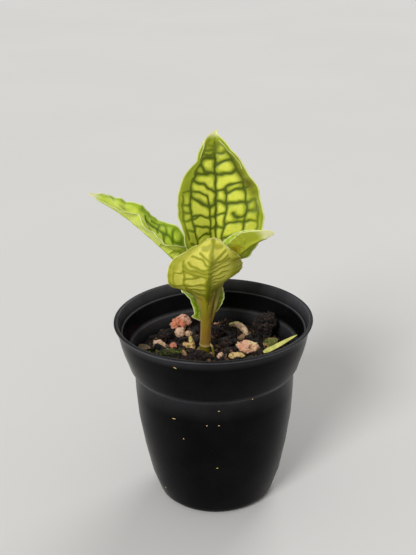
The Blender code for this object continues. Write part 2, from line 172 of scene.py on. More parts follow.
# Each leaf: grid cells along and across, how wide and how dark its veins are, where its pale rim
# ends in millimetres, how far it narrows at the very tip, the place where its tip turns pale, its
# stalk's radius, the rows where the stalk turns into the blade, points of the stalk and of the
# midrib, the way its face looks, and half widths from foot to tip. Folds (degrees that a half
# rises) and margins (hundredths of the half width) are pairs of place, in hundredths, and value,
# first for the side at across -1, then for +1. Cup is how far a half bends, in degrees, and
# ruffle is the height, count and shift of its waves
LEAVES = {
    "leaf_back": dict(
        grid=(270, 150), spread=0.62, soft=1.0, rim=0.9, taper=0.75, tip=0.93, rod=1.2, blend=(3.0, 6.0),
        stalk=((-2.8, 1.4, -0.2), (-2.0, 5.2, 7.6), (-0.5, 8.4, 15.0)),
        rib=((1.2, 11.0, 20.2), (2.4, 13.5, 40.8), (2.6, 17.0, 61.0), (2.8, 22.0, 80.9)),
        face=((0.1, -1.0, 0.15), (0.1, -1.0, 0.2)),
        widths=(4.0, 17.2, 20.8, 20.8, 18.9, 12.9, 7.2, 0.5),
        folds=("0 45, 33 38, 67 21, 100 19",
               "0 20, 33 7, 67 0, 100 45"),
        margins=("0 100, 35 100, 42 104, 48 107, 54 106, 58 101, 64 105, 70 113, 74 105, 77 92, 79 95, "
                 "82 104, 88 117, 92 139, 96 148, 100 130",
                 "0 110, 9 120, 13 100, 30 100, 37 102, 50 97, 58 101, 66 99, 72 103, 80 108, "
                 "83.5 106, 85.5 95, 87.5 103, 92 98, 94 82, 96 56, 100 50"),
        cup=0, ruffle=(0.8, 4.5, 0.2)),
    "leaf_left": dict(
        grid=(240, 100), spread=0.48, soft=0.9, rim=0.8, taper=0.75, tip=0.88, rod=1.2, blend=(3.0, 6.0),
        stalk=((-3.8, 1.6, 1.4), (-5.5, 4.7, 9.0), (-8.4, 6.3, 16.0)),
        rib=((-12.6, 7.0, 22.0), (-25.2, 5.3, 35.8), (-38.2, 2.6, 48.9), (-52.7, -0.5, 59.6)),
        face=((0.4, -0.2, 1.0), (0.3, -0.2, 1.0)),
        widths=(3.0, 12.0, 12.6, 9.8, 8.0, 5.5, 0.6),
        folds=("0 80, 10 86, 17 57, 22 49, 25 45, 30 32, 38 33, 44 36, 49 33, 53 31, 56 39, 61 52, "
               "66 44, 73 29, 82 29, 87 22, 92 25, 100 30",
               "0 45, 25 33, 30 20, 37 13, 45 19, 54 34, 58 41, 64 27, 67 15, 73 22, 77 13, 82 17, "
               "89 23, 95 15, 100 20"),
        margins=("0 100, 100 100",
                 "0 100, 100 100"),
        cup=0, ruffle=(0.0, 4.0, 0.1)),
    "leaf_front": dict(
        grid=(220, 140), spread=0.44, soft=0.54, rim=0.5, taper=0.75, tip=0.93, rod=2.3, blend=(1.2, 6.0),
        stalk=((-3.6, 1.3, -4.6), (-3.1, 0.0, 3.0)),
        rib=((-2.9, -1.0, 9.0), (-2.4, -3.8, 13.4), (-2.0, -6.2, 19.2), (-1.3, -7.6, 25.2),
             (-0.3, -7.8, 31.5), (0.4, -6.0, 36.8), (1.0, -2.0, 38.6), (1.6, 2.0, 35.8)),
        face=((0, 1, 0.1), (0, 1, 0.1), (0, 1, 0), (0, 1, -0.2), (0, 0.3, -0.9), (0, -0.6, -0.6)),
        widths=(7.0, 12.0, 17.7, 18.6, 15.5, 10.6, 5.6, 1.0),
        folds=("0 45, 25 30, 50 34, 75 10, 100 0",
               "0 8, 25 -5, 50 0, 75 5, 100 0"),
        margins=("0 95, 5 60, 12 42, 15 50, 18 72, 21 95, 25 102, 42 103, 60 95, 70 79, 77 70, 82 50, "
                 "100 40",
                 "0 90, 5 97, 10 105, 16 112, 23 105, 29 101, 35 98, 44 96, 51 92, 57 85, 67 72, "
                 "72 62, 80 50, 100 40"),
        cup=12, ruffle=(0.4, 3.0, 0.0)),
    "leaf_right": dict(
        grid=(170, 80), spread=0.7, soft=0.5, rim=0.55, taper=0.0, tip=0.77, rod=1.2, blend=(3.0, 6.0),
        stalk=((-1.9, 1.0, -3.6), (0.7, 3.0, 4.4), (2.8, 5.0, 12.0)),
        rib=((6.1, 6.5, 19.8), (12.1, 5.3, 28.0), (18.8, 1.7, 34.8), (27.2, -2.0, 39.8)),
        face=((-0.4, -0.1, 1.0), (-0.2, -0.1, 1.0)),
        widths=(2.5, 8.5, 8.8, 7.1, 4.2, 1.3),
        folds=("0 70, 33 66, 67 70, 100 72",
               "0 70, 33 66, 67 70, 100 72"),
        margins=("0 100, 100 100",
                 "0 100, 40 95, 54 106, 64 131, 74 140, 84 142, 92 170, 100 180"),
        cup=0, ruffle=(0.2, 3.0, 0.3)),
    "leaf_low": dict(
        grid=(150, 84), spread=0.6, soft=0.9, rim=0.7, taper=0.75, tip=0.93, rod=1.2, blend=(3.0, 6.0),
        stalk=((-3.8, 2.0, -10.4), (-3.8, 4.2, -7.2)),
        rib=((-3.8, 5.0, -4.5), (-4.0, 10.0, 2.4), (-3.8, 16.7, 8.1), (-3.0, 23.0, 14.4)),
        face=((0.0, -1.0, 0.7), (0.0, -1.0, 0.7)),
        widths=(3.0, 6.3, 9.0, 10.0, 7.0, 0.6),
        folds=("0 10, 33 25, 67 5, 100 15",
               "0 30, 33 25, 67 35, 100 10"),
        margins=("0 170, 8 150, 13 94, 23 76, 35 82, 48 109, 70 105, 100 100",
                 "0 90, 8 94, 15 116, 25 128, 35 121, 48 101, 58 98, 100 100"),
        cup=0, ruffle=(0.7, 3.0, 0.2)),
}

# Veins seen in the photograph, each as its width beside the others and the points that it runs
# through: how far across (-100 to 100) and how far from foot (0) to tip (100). Bands are plain
# green between the veins. Pale lines on them are painted highlights along folds, the midrib and
# near the tip. A stain is a soft dark spot, and a streak a dark line that adds to the stains; on
# the right leaf both are painted shadow. A stain is given as its place across and along, its reach
# in both, and its strength
BACK_VEINS = lines((
    (1.0, "0 0, -1 24, -2 36, -2 47, -1 56, -3 69, -6 80, -6 91"),
    (0.9, "9 5, 12 14, 14 24, 16 31, 19 38, 21 43, 22 50, 21 56, 28 59, 48 61, 65 61"),
    (1.1, "22 54, 41 56, 59 57, 76 58"),
    (0.9, "46 10, 54 18, 57 27, 58 33, 62 39, 65 43, 66 48, 66 55, 67 59, 74 66, 71 70, 69 76, 65 83, "
          "59 87, 33 91"),
    (1.0, "2 89, 55 90"),
    (1.1, "-2 83, 23 83, 58 84"),
    (1.2, "0 75, 27 77, 59 78"),
    (1.3, "0 68, 32 68, 64 70"),
    (0.9, "-1 56, 21 56"),
    (1.3, "-1 48, 11 48, 24 46, 41 47, 66 47, 89 49"),
    (0.8, "-2 38, 18 39"),
    (1.6, "36 39, 39 37, 44 36"),
    (0.9, "44 36, 53 37, 62 39"),
    (0.9, "19 31, 34 33, 53 33, 63 34, 84 34"),
    (0.8, "-1 29, 15 29"),
    (0.8, "13 20, 36 24, 57 25, 84 25"),
    (0.8, "10 11, 30 15, 54 17, 80 17"),
    (1.4, "64 41, 77 41, 88 43"),
    (0.8, "89 49, 88 43, 87 35, 87 28, 84 15"),
    (0.9, "-11 5, -15 15, -17 25, -17 32, -17 38, -19 44, -20 49, -26 53, -40 55, -60 57"),
    (1.3, "-2 46, -21 45, -34 47, -46 50, -64 53"),
    (1.1, "-3 55, -17 57, -28 60, -47 62, -67 64"),
    (0.9, "-50 10, -58 17, -62 25, -64 30, -66 36, -67 41, -67 47, -67 53, -68 59, -69 64, -67 69, "
          "-70 74, -72 83, -70 89, -54 92"),
    (0.8, "-86 55, -85 49, -86 43, -87 37, -89 30, -82 24"),
    (1.3, "-3 68, -29 69, -45 68, -67 69"),
    (1.1, "-66 75, -46 72, -32 69"),
    (1.1, "-6 79, -40 80, -67 78"),
    (0.8, "-6 82, -41 82, -67 82"),
    (1.0, "-7 85, -39 85, -70 85"),
    (0.9, "-5 88, -50 88"),
    (0.8, "-2 37, -18 37, -35 38, -52 40, -64 39"),
    (0.7, "-48 39, -56 38, -64 37"),
    (0.9, "-1 29, -19 29, -41 31, -63 32"),
    (0.9, "-17 25, -35 25, -55 23"),
    (0.8, "-14 15, -36 17, -58 16, -80 20"),
    (0.8, "-66 48, -84 48"),
    (0.8, "-67 42, -85 43"),
    (0.8, "-66 37, -88 37"),
    (0.8, "-64 29, -89 30"),
    (0.8, "-67 57, -86 57"),
))
BACK_MARKS = dict(
    veins=BACK_VEINS,
    bands=lines(((3.2, "-80 58, -80 63, -80 68, -82 74, -88 79, -87 85, -83 91, -50 96"),
                 (3.4, "85 55, 82 59, 85 66, 83 72, 81 79, 83 84, 78 90, 38 95"),
                 (2.6, "-40 92, -6 92, 30 93"))),
    # Pale lines: painted glints near the tip's margins
    pale=lines(((0.5, "-93 93, -87 88, -80 84, -77 80"),
                (0.5, "41 92, 57 89, 68 86, 80 83, 84 79, 87 72"))),
    stains=((0.8, 0.61, 0.17, 0.06, 0.95), (0.76, 0.68, 0.15, 0.07, 0.8), (0.76, 0.77, 0.14, 0.09, 0.55),
            (0.86, 0.54, 0.1, 0.05, 0.6), (0.88, 0.44, 0.08, 0.05, 0.35), (-0.05, 0.89, 0.4, 0.05, 0.5),
            (-0.35, 0.8, 0.3, 0.02, 0.6), (-0.8, 0.6, 0.12, 0.06, 0.35)))
FRONT_VEINS = lines((
    (1.9, "0 -5, 0 3, 1 17, 1 33"),
    (1.2, "1 33, 0 45, 1 56, 1 67, 0 77, 0 86"),
    (0.8, "3 54, 16 56, 27 59, 38 61"),
    (0.9, "2 49, 12 50, 18 52, 28 55, 44 56, 58 56"),
    (1.0, "3 45, 16 44, 30 45, 44 47, 57 49"),
    (1.0, "2 41, 19 41, 38 42, 52 43, 62 45"),
    (1.1, "2 37, 14 37, 27 37, 41 39, 59 40"),
    (0.9, "27 36, 43 33, 58 33"),
    (1.0, "3 28, 18 27, 38 26, 57 26, 89 25"),
    (0.9, "3 21, 22 21, 42 21, 58 22"),
    (0.9, "6 14, 27 13, 44 16, 55 20"),
    (0.8, "22 1, 46 4, 60 7, 59 17"),
    (0.8, "74 51, 62 43, 59 36, 59 28, 61 20, 69 7, 81 0"),
    (0.8, "60 40, 73 38, 84 37"),
    (0.7, "88 43, 84 34, 88 25"),
    (1.0, "0 52, -13 56, -26 60, -51 67"),
    (1.0, "0 49, -15 52, -33 55, -56 61"),
    (0.9, "0 46, -16 48, -33 51, -57 57"),
    (0.9, "0 41, -17 44, -39 46, -59 48"),
    (0.9, "0 36, -19 37, -34 39, -52 39"),
    (0.9, "0 31, -20 32, -42 32"),
    (0.8, "0 26, -17 28, -34 27"),
    (0.8, "0 20, -12 23, -27 24"),
    (0.8, "0 13, -11 18, -23 20"),
))
FRONT_MARKS = dict(
    veins=FRONT_VEINS,
    bands=lines(((4.0, "-100 62, -80 49, -78 32, -80 22, -72 16, -60 10"),
                 (3.0, "92 40, 90 51, 88 62, 80 70"),
                 (1.6, "30 66, 12 68, -10 70, -35 72"))),
    # Pale line: painted highlight along the crest of the fold
    pale=lines(((3.2, "100 72, 60 82, 0 85, -60 82, -95 74"),)),
    stains=((-0.3, 0.14, 0.5, 0.1, 0.8), (0.1, 0.1, 0.6, 0.1, 0.75), (-0.85, 0.3, 0.3, 0.14, 0.5)))
LEFT_VEINS = lines((
    (0.9, "0 0, 0 30, 0 60, 0 90"),
    (1.2, "72 41, 74 35, 86 29, 93 25, 97 20"),
    (1.4, "54 46, 49 38, 51 30, 49 27, 47 19, 70 11"),
    (1.3, "95 25, 68 23, 43 20"),
    (1.2, "89 30, 67 28, 47 27"),
    (1.5, "97 19, 89 15, 76 11"),
    (1.0, "74 34, 54 34, 35 33"),
    (1.3, "45 28, 15 25"),
    (1.3, "43 20, 30 15, 10 14"),
    (0.9, "64 49, 41 45, 27 40"),
    (0.7, "-12 10, -35 12, -60 10"),
    (0.7, "-10 17, -50 19, -80 17"),
    (0.7, "-40 5, -45 15, -40 30"),
    (0.6, "-5 27, -50 31"),
))
LEFT_MARKS = dict(
    veins=LEFT_VEINS,
    bands=lines(((2.4, "100 30, 95 40, 90 50, 90 60"),
                 (2.0, "30 5, 80 9"))),
    # Pale lines: painted highlights along folds and the midrib
    pale=lines(((0.6, "-5 36, -10 50, -10 62"),
                (0.9, "48 55, 39 48, 30 40"),
                (0.6, "10 66, 33 75, 69 82, 80 88"),
                (0.6, "0 70, 0 90"),
                (0.6, "-25 66, -30 80, -40 90"),
                (0.7, "-24 25, -30 33, -20 42"))),
    stains=((0.7, 0.13, 0.35, 0.05, 0.8), (0.85, 0.22, 0.2, 0.03, 0.4), (0.35, 0.68, 0.15, 0.04, 0.5)))
RIGHT_VEINS = lines((
    (0.8, "0 0, 0 30, 0 60, 0 85"),
    (0.7, "5 36, 30 44, 55 50"),
    (0.6, "5 46, 30 54, 50 60"),
    (0.6, "-20 10, -30 30, -25 60"),
    (0.6, "-5 30, -70 34"),
))
RIGHT_MARKS = dict(
    veins=RIGHT_VEINS,
    # Stains and streaks: painted shadow, the brown patch where the front leaf shades this leaf
    stains=((0.4, 0.39, 0.26, 0.06, 0.7), (0.15, 0.32, 0.2, 0.08, 0.4)),
    streaks=lines(((0.7, "66 34, 45 36, 20 37"),
                   (0.8, "62 40, 40 41, 22 43"),
                   (0.6, "50 46, 35 47, 20 49"))))
# The low leaf's pale line is a painted highlight
LOW_MARKS = dict(veins=(), pale=lines(((0.8, "45 60, 55 42, 50 27, 40 12"),)))


def curve(values, places):
    """Reads a smooth curve through evenly spaced values at places from 0 to 1."""
    values = np.asarray(values, float)
    last = len(values) - 1
    spot = np.clip(places, 0.0, 1.0) * last
    i = np.minimum(spot.astype(int), last - 1)
    t = spot - i
    first, final = values[0] * 2 - values[1], values[-1] * 2 - values[-2]
    padded = np.concatenate([[first], values, [final]])
    a, b, c, d = (padded[i + k] for k in range(4))
    if values.ndim > 1:
        t = t[:, None]
    bend = (a * 2 - b * 5 + c * 4 - d) * t + (b * 3 - a - c * 3 + d) * (t * t)
    return b + (c - a + bend) * (t * 0.5)


def level(known, places, soften=0.012):
    """Reads straight pieces between pairs of place and value, with their corners softened."""
    known = np.array(known, float)
    steps = np.linspace(-0.1, 1.1, 601)
    raw = np.interp(steps, known[:, 0], known[:, 1])
    window = np.exp(-((np.arange(-30, 31) * 0.002 / soften) ** 2))
    smooth = np.convolve(np.pad(raw, 30, mode="edge"), window / window.sum(), mode="valid")
    return np.interp(places, steps, smooth)


def unit(vectors):
    return vectors / np.linalg.norm(vectors, axis=-1, keepdims=True)


def smooth_step(low, high, values):
    """0 below low, 1 above high, and a smooth rise between."""
    t = np.clip((values - low) / (high - low), 0.0, 1.0)
    return t * t * (3 - 2 * t)


def place_object(name, data):
    obj = bpy.data.objects.new(name, data)
    bpy.context.scene.collection.objects.link(obj)
    return obj


def add_piece(name, mesh, mat, slot, *nodes):
    """Puts a finished mesh, in metres, into the scene as a piece of the object."""
    mesh.shade_smooth()
    mesh.materials.append(mat)
    obj = place_object(name, mesh)
    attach(obj, "root")
    if nodes:
        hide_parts(*nodes)
    return obj


def new_mesh(name, bm):
    mesh = bpy.data.meshes.new(name)
    bm.to_mesh(mesh)
    bm.free()
    return mesh


def to_mesh(name, bm):
    """A mesh in metres from a bmesh in millimetres above the rim."""
    bmesh.ops.translate(bm, vec=(0, 0, RIM), verts=bm.verts[:])
    bmesh.ops.scale(bm, vec=(MM, MM, MM), verts=bm.verts[:])
    return new_mesh(name, bm)


def thin_slab(rows, columns):
    """A flat slab, one wide and one thick, cut into cells."""
    bm = bmesh.new()
    bmesh.ops.create_grid(bm, x_segments=rows, y_segments=columns, size=0.5)
    bmesh.ops.solidify(bm, geom=bm.faces[:] + bm.edges[:] + bm.verts[:], thickness=1.0)
    return bm


def facing(way):
    """The turn that brings Z to a direction."""
    return way.to_track_quat("Z", "Y").to_matrix().to_4x4()


def any_way(draw):
    """A direction drawn at random."""
    return Vector((draw.gauss(0, 1), draw.gauss(0, 1), draw.gauss(0, 1))).normalized()


def around(centre, reach, share, angle):
    """The x and y of a point in an ellipse, at a share of its reach."""
    return centre[0] + reach[0] * share * math.cos(angle), centre[1] + reach[1] * share * math.sin(angle)


def inner_box(name):
    """The middle and the half sizes of a node's box, in millimetres above the rim."""
    low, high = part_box(name)
    return (low + high) / 2 / MM - Vector((0, 0, RIM)), (high - low) / 2 / MM


def attribute(mesh, name, values):
    """Writes one number or one vector for each vertex."""
    kind = "FLOAT_VECTOR" if values.ndim > 1 else "FLOAT"
    data = mesh.attributes.new(name, kind, "POINT").data
    key = "vector" if values.ndim > 1 else "value"
    data.foreach_set(key, values.astype(np.float32).ravel())


def node(tree, kind, inputs=None, **settings):
    """Adds a shader node, with its inputs set to values or linked from sockets."""
    made = tree.nodes.new(kind)
    for key, value in settings.items():
        setattr(made, key, value)
    for key, value in (inputs or {}).items():
        if isinstance(value, bpy.types.NodeSocket):
            tree.links.new(value, made.inputs[key])
        else:
            made.inputs[key].default_value = value
    return made


def blend(tree, factor, first, second, mode="MIX"):
    """Mixes two colours by a factor."""
    made = node(tree, "ShaderNodeMix", data_type="RGBA", blend_type=mode)
    for index, value in ((0, factor), (6, first), (7, second)):
        if isinstance(value, bpy.types.NodeSocket):
            tree.links.new(value, made.inputs[index])
        elif index == 0:
            made.inputs[index].default_value = value
        else:
            made.inputs[index].default_value = (*value, 1.0)
    return made.outputs[2]


def compute(tree, operation, first, second=0.0, clamp=False):
    """One math node."""
    made = node(tree, "ShaderNodeMath", {0: first, 1: second}, operation=operation, use_clamp=clamp)
    return made.outputs[0]


def remap(tree, value, low, high, out_low=0.0, out_high=1.0):
    """Maps a value smoothly from one range to another."""
    made = node(tree, "ShaderNodeMapRange", {0: value, 1: low, 2: high, 3: out_low, 4: out_high},
                interpolation_type="SMOOTHSTEP")
    return made.outputs[0]


def grain(tree, vector, scale, detail=3.0, rough=0.55):
    """Noise from 0 to 1 over a vector."""
    made = node(tree, "ShaderNodeTexNoise", {
        "Vector": vector, "Scale": scale, "Detail": detail, "Roughness": rough})
    return made.outputs["Fac"]


def read(tree, name):
    """A number that the mesh holds for each vertex."""
    return node(tree, "ShaderNodeAttribute", attribute_name=name).outputs["Fac"]


def read_vector(tree, name):
    return node(tree, "ShaderNodeAttribute", attribute_name=name).outputs["Vector"]


def place_in(tree):
    return node(tree, "ShaderNodeTexCoord").outputs["Object"]


def ramp(tree, value, stops):
    """A colour for each value, through stops of position and colour."""
    stops = list(stops)
    made = node(tree, "ShaderNodeValToRGB", {0: value})
    elements = made.color_ramp.elements
    while len(elements) < len(stops):
        elements.new(1.0)
    for element, (position, colour) in zip(elements, stops):
        element.position = position
        element.color = (*colour, 1.0)
    return made.outputs[0]


def new_material(name, specular=0.5):
    mat = bpy.data.materials.new(name)
    mat.use_nodes = True
    tree = mat.node_tree
    shader = tree.nodes["Principled BSDF"]
    shader.inputs["Specular IOR Level"].default_value = specular
    return mat, tree, shader


def connect(tree, shader, colour=None, roughness=None, height=None, distance=0.0002, strength=1.0):
    """Feeds the shader's colour, roughness and bump."""
    if colour is not None:
        tree.links.new(colour, shader.inputs["Base Color"])
    if roughness is not None:
        tree.links.new(roughness, shader.inputs["Roughness"])
    if height is not None:
        bump = node(tree, "ShaderNodeBump", {"Height": height, "Distance": distance, "Strength": strength})
        tree.links.new(bump.outputs[0], shader.inputs["Normal"])


GRAIN_INPUTS = ("Scale", "Noise Roughness", "Smooth", "Matte", "Speck Low", "Speck High", "Speck Amount")


def fine_grain():
    """The node group of a grained surface: its grain, the specks on it, and its gloss."""
    tree = bpy.data.node_groups.new("fine grain", "ShaderNodeTree")
    face = tree.interface
    face.new_socket("Place", in_out="INPUT", socket_type="NodeSocketVector")
    for name in GRAIN_INPUTS:
        face.new_socket(name, in_out="INPUT", socket_type="NodeSocketFloat")
    for name in ("Grain", "Speck", "Roughness"):
        face.new_socket(name, in_out="OUTPUT", socket_type="NodeSocketFloat")
    come = tree.nodes.new("NodeGroupInput").outputs
    go = tree.nodes.new("NodeGroupOutput").inputs
    value = grain(tree, come["Place"], come["Scale"], 4.0, come["Noise Roughness"])
    specks = remap(tree, value, come["Speck Low"], come["Speck High"], 0.0, come["Speck Amount"])
    tree.links.new(value, go["Grain"])
    tree.links.new(specks, go["Speck"])
    tree.links.new(remap(tree, value, 0.3, 0.7, come["Smooth"], come["Matte"]), go["Roughness"])
    return tree


def grained(tree, scale, rough, gloss, specks=(0.0, 1.0, 0.0)):
    """Places the fine grain, with its roughness from smooth to matte, and specks from low to high."""
    group = bpy.data.node_groups.get("fine grain") or fine_grain()
    values = dict(zip(GRAIN_INPUTS, (scale, rough, *gloss, *specks)))
    made = node(tree, "ShaderNodeGroup", node_tree=group)
    for name, value in values.items():
        made.inputs[name].default_value = value
    tree.links.new(place_in(tree), made.inputs["Place"])
    return made.outputs["Grain"], made.outputs["Speck"], made.outputs["Roughness"]


SKIN_FIELDS = ("Vein", "Halo", "Edge", "Rim", "Place", "Pale", "Stain", "Outer", "Tip", "Low")
SKIN_COLOURS = ("Cell", "Vein", "Band", "Margin", "Tip", "Foot", "Stain")


def leaf_skin():
    """The node group of a leaf's surface: cells, veins, plain band, stains, painted highlights,
    pale margin and tip; on the right leaf the stains are painted shadow.
    """
    tree = bpy.data.node_groups.new("leaf skin", "ShaderNodeTree")
    face = tree.interface
    for name in SKIN_FIELDS:
        face.new_socket(name, in_out="INPUT", socket_type="NodeSocketFloat")
    face.new_socket("Flat", in_out="INPUT", socket_type="NodeSocketVector")
    for name in SKIN_COLOURS:
        face.new_socket(name + " Colour", in_out="INPUT", socket_type="NodeSocketColor")
    for name, kind in (("Colour", "NodeSocketColor"), ("Roughness", "NodeSocketFloat"),
                       ("Height", "NodeSocketFloat")):
        face.new_socket(name, in_out="OUTPUT", socket_type=kind)
    come = tree.nodes.new("NodeGroupInput").outputs
    go = tree.nodes.new("NodeGroupOutput")
    patches = grain(tree, come["Flat"], 0.16, 3.0)
    streaks = grain(tree, come["Flat"], 1.1, 4.0, 0.6)
    fine = grain(tree, come["Flat"], 5.0, 3.0)
    cell = blend(tree, remap(tree, patches, 0.35, 0.75, 0.0, 0.3), come["Cell Colour"], come["Band Colour"])
    cell = blend(tree, remap(tree, streaks, 0.4, 0.75, 0.0, 0.25), cell, come["Band Colour"])
    cell = blend(tree, compute(tree, "MULTIPLY", come["Outer"], 0.38), cell, come["Band Colour"])
    band = remap(tree, compute(tree, "ADD", come["Edge"], compute(tree, "MULTIPLY", patches, 2.0)), 2.0, 3.8)
    ground = blend(tree, band, come["Band Colour"], cell)
    ground = blend(tree, compute(tree, "MULTIPLY", come["Halo"], 0.85), ground, come["Band Colour"])
    # Stains: soft dark spots; on the right leaf they are painted shadow
    ground = blend(tree, come["Stain"], ground, come["Stain Colour"])
    strength = compute(tree, "MULTIPLY", remap(tree, streaks, 0.2, 0.6, 0.84, 1.0),
                       remap(tree, come["Place"], 0.0, 0.6, 0.84, 1.0))
    strength = compute(tree, "MULTIPLY", strength, remap(tree, come["Place"], 0.78, 0.92, 1.0, 0.4))
    vein = compute(tree, "MULTIPLY", come["Vein"], strength, clamp=True)
    colour = blend(tree, vein, ground, come["Vein Colour"])
    foot = blend(tree, compute(tree, "MULTIPLY", come["Outer"], 0.65), come["Foot Colour"], (0.5, 0.34, 0.15))
    foot = blend(tree, compute(tree, "MULTIPLY", vein, 0.6), foot, come["Vein Colour"])
    foot = blend(tree, remap(tree, streaks, 0.35, 0.7, 0.0, 0.3), foot, come["Vein Colour"])
    foot = blend(tree, compute(tree, "MULTIPLY", come["Low"], 0.85), foot, (0.34, 0.215, 0.022))
    colour = blend(tree, remap(tree, come["Place"], 0.0, 0.12, 1.0, 0.0), colour, foot)
    colour = blend(tree, compute(tree, "MULTIPLY", come["Tip"], 0.9), colour, come["Tip Colour"])
    # Pale lines: painted highlights, turned towards the margin colour
    colour = blend(tree, compute(tree, "MULTIPLY", come["Pale"], 0.7), colour, come["Margin Colour"])
    colour = blend(tree, compute(tree, "MULTIPLY", come["Rim"], 0.9), colour, come["Margin Colour"])
    speck = remap(tree, fine, 0.35, 0.65, 0.9, 1.08)
    made = node(tree, "ShaderNodeHueSaturation", {"Value": speck, "Color": colour})
    tree.links.new(made.outputs[0], go.inputs["Colour"])
    tree.links.new(remap(tree, streaks, 0.3, 0.7, 0.4, 0.54), go.inputs["Roughness"])
    height = compute(tree, "ADD", compute(tree, "MULTIPLY", streaks, 0.6),
                     compute(tree, "MULTIPLY", fine, 0.4))
    tree.links.new(height, go.inputs["Height"])
    return tree


def leaf_material(name, skin, upper, under, glow):
    """A leaf's two faces: each is the colours of cell, vein, band, margin, tip, foot and stain."""
    mat, tree, shader = new_material(name, 0.3)
    sides = []
    for colours in (upper, under):
        group = node(tree, "ShaderNodeGroup", node_tree=skin)
        for key in SKIN_FIELDS:
            tree.links.new(read(tree, key.lower()), group.inputs[key])
        tree.links.new(read_vector(tree, "flat"), group.inputs["Flat"])
        for key, colour in zip(SKIN_COLOURS, colours):
            group.inputs[key + " Colour"].default_value = (*colour, 1.0)
        sides.append(group.outputs)
    colour = blend(tree, read(tree, "under"), sides[0]["Colour"], sides[1]["Colour"])
    connect(tree, shader, colour, sides[0]["Roughness"], sides[0]["Height"], 0.00012, 0.5)
    through = node(tree, "ShaderNodeBsdfTranslucent", {"Color": colour})
    mixed = node(tree, "ShaderNodeMixShader", {0: glow})
    tree.links.new(shader.outputs[0], mixed.inputs[1])
    tree.links.new(through.outputs[0], mixed.inputs[2])
    tree.links.new(mixed.outputs[0], tree.nodes["Material Output"].inputs["Surface"])
    return mat


# Veins by rule. Long ones: where they start across, how much they close in, their foot and length.
# Cross ones: from where to where across, how far apart, and how far they rise
LONG_VEINS = ((0.24, 0.3, 0.04, 0.88), (0.62, 0.35, 0.06, 0.84))
CROSS_VEINS = ((0.0, 0.22, 0.085, 0.01), (0.2, 0.6, 0.1, 0.035), (0.58, 0.92, 0.09, 0.02))


def net_veins(seed):
    """Veins by rule: a midrib, two long veins on each side, and slanting cross veins."""
    draw = random.Random(seed)
    veins = [(1.1, ((0, 0.0), (0, 0.3), (0, 0.6), (0, 0.95)))]
    for side in (-1, 1):
        for at, closing, foot, long in LONG_VEINS:
            veins.append((0.9, [
                (side * (at + draw.uniform(-0.04, 0.04)) * (1 - closing * step), foot + long * step)
                for step in (0.0, 0.25, 0.5, 0.75, 1.0)]))
        for low, high, pitch, rise in CROSS_VEINS:
            place = 0.06 + draw.uniform(0, pitch)
            while place < 0.88:
                slant = rise + draw.uniform(-0.02, 0.03)
                veins.append((draw.uniform(0.7, 1.3), (
                    (side * low, place), (side * (low + high) / 2, place + slant * 0.7),
                    (side * high, place + slant))))
                place += pitch * draw.uniform(0.75, 1.3)
    return veins


def leaf_frame(shape, rows_at):
    """The middle line, its direction, and the ways out and up, at rows along the leaf."""
    rib = np.array(shape["rib"], float)
    stalk = np.concatenate([np.array(shape["stalk"], float), rib[:1]])
    last = STALK_ROWS + BLADE_ROWS

    def spine(row):
        low = curve(stalk, row / STALK_ROWS)
        high = curve(rib, (row - STALK_ROWS) / BLADE_ROWS)
        return np.where((row <= STALK_ROWS)[:, None], low, high)

    along = unit(spine(np.minimum(rows_at + 0.5, last)) - spine(np.maximum(rows_at - 0.5, 0)))
    place = np.maximum(rows_at - STALK_ROWS, 0) / BLADE_ROWS
    up = curve(shape["face"], place)
    up = unit(up - along * (up * along).sum(-1, keepdims=True))
    return spine(rows_at), np.cross(along, up), up


def flat_ruler(shape):
    """Turns across and place into millimetres on the flattened blade."""
    steps = np.linspace(0, 1, 200)
    line = curve(shape["rib"], steps)
    length = np.concatenate([[0], np.cumsum(np.linalg.norm(np.diff(line, axis=0), axis=1))])

    def measure(across, place):
        return np.stack([across * curve(shape["widths"], place), np.interp(place, steps, length)], axis=-1)
    return measure, length[-1]


def line_depth(points, drawn, measure, spread, soft=1.0):
    """How much of the lines lies near each flat point, narrow and wide; the first line is the midrib."""
    narrow, wide = np.zeros(len(points)), np.zeros(len(points))
    x, y = points[:, 0], points[:, 1]
    bent = points + VEIN_SWAY * np.stack([
        np.sin(0.9 * y + 1.3 * np.sin(0.7 * x)), np.sin(1.1 * x + 1.7 * np.sin(0.6 * y))], axis=-1)
    for index, (width, line) in enumerate(drawn):
        bends = np.array(line, float)
        smooth = curve(bends, np.linspace(0, 1, 3 * len(bends) - 2))
        flat = measure(smooth[:, 0], smooth[:, 1])
        nearest = np.full(len(points), 1e9)
        for start, end in zip(flat, flat[1:]):
            way = end - start
            t = np.clip(((bent - start) @ way) / max(way @ way, 1e-9), 0, 1)
            gap = bent - start - t[:, None] * way
            nearest = np.minimum(nearest, gap[:, 0] ** 2 + gap[:, 1] ** 2)
        narrow += np.exp(-nearest / (spread * width) ** 2) * (soft if index else 1.0)
        wide += np.exp(-nearest / (HALO_WIDTH * spread * width) ** 2)
    return narrow, wide


def spot_depth(across, place, spots):
    """Soft round marks, each as across, place, its reach in both, and its strength."""
    total = np.zeros(len(across))
    for at_across, at_place, wide, long, strength in spots:
        near = ((across - at_across) / wide) ** 2 + ((place - at_place) / long) ** 2
        total = np.maximum(total, strength * np.exp(-near))
    return total


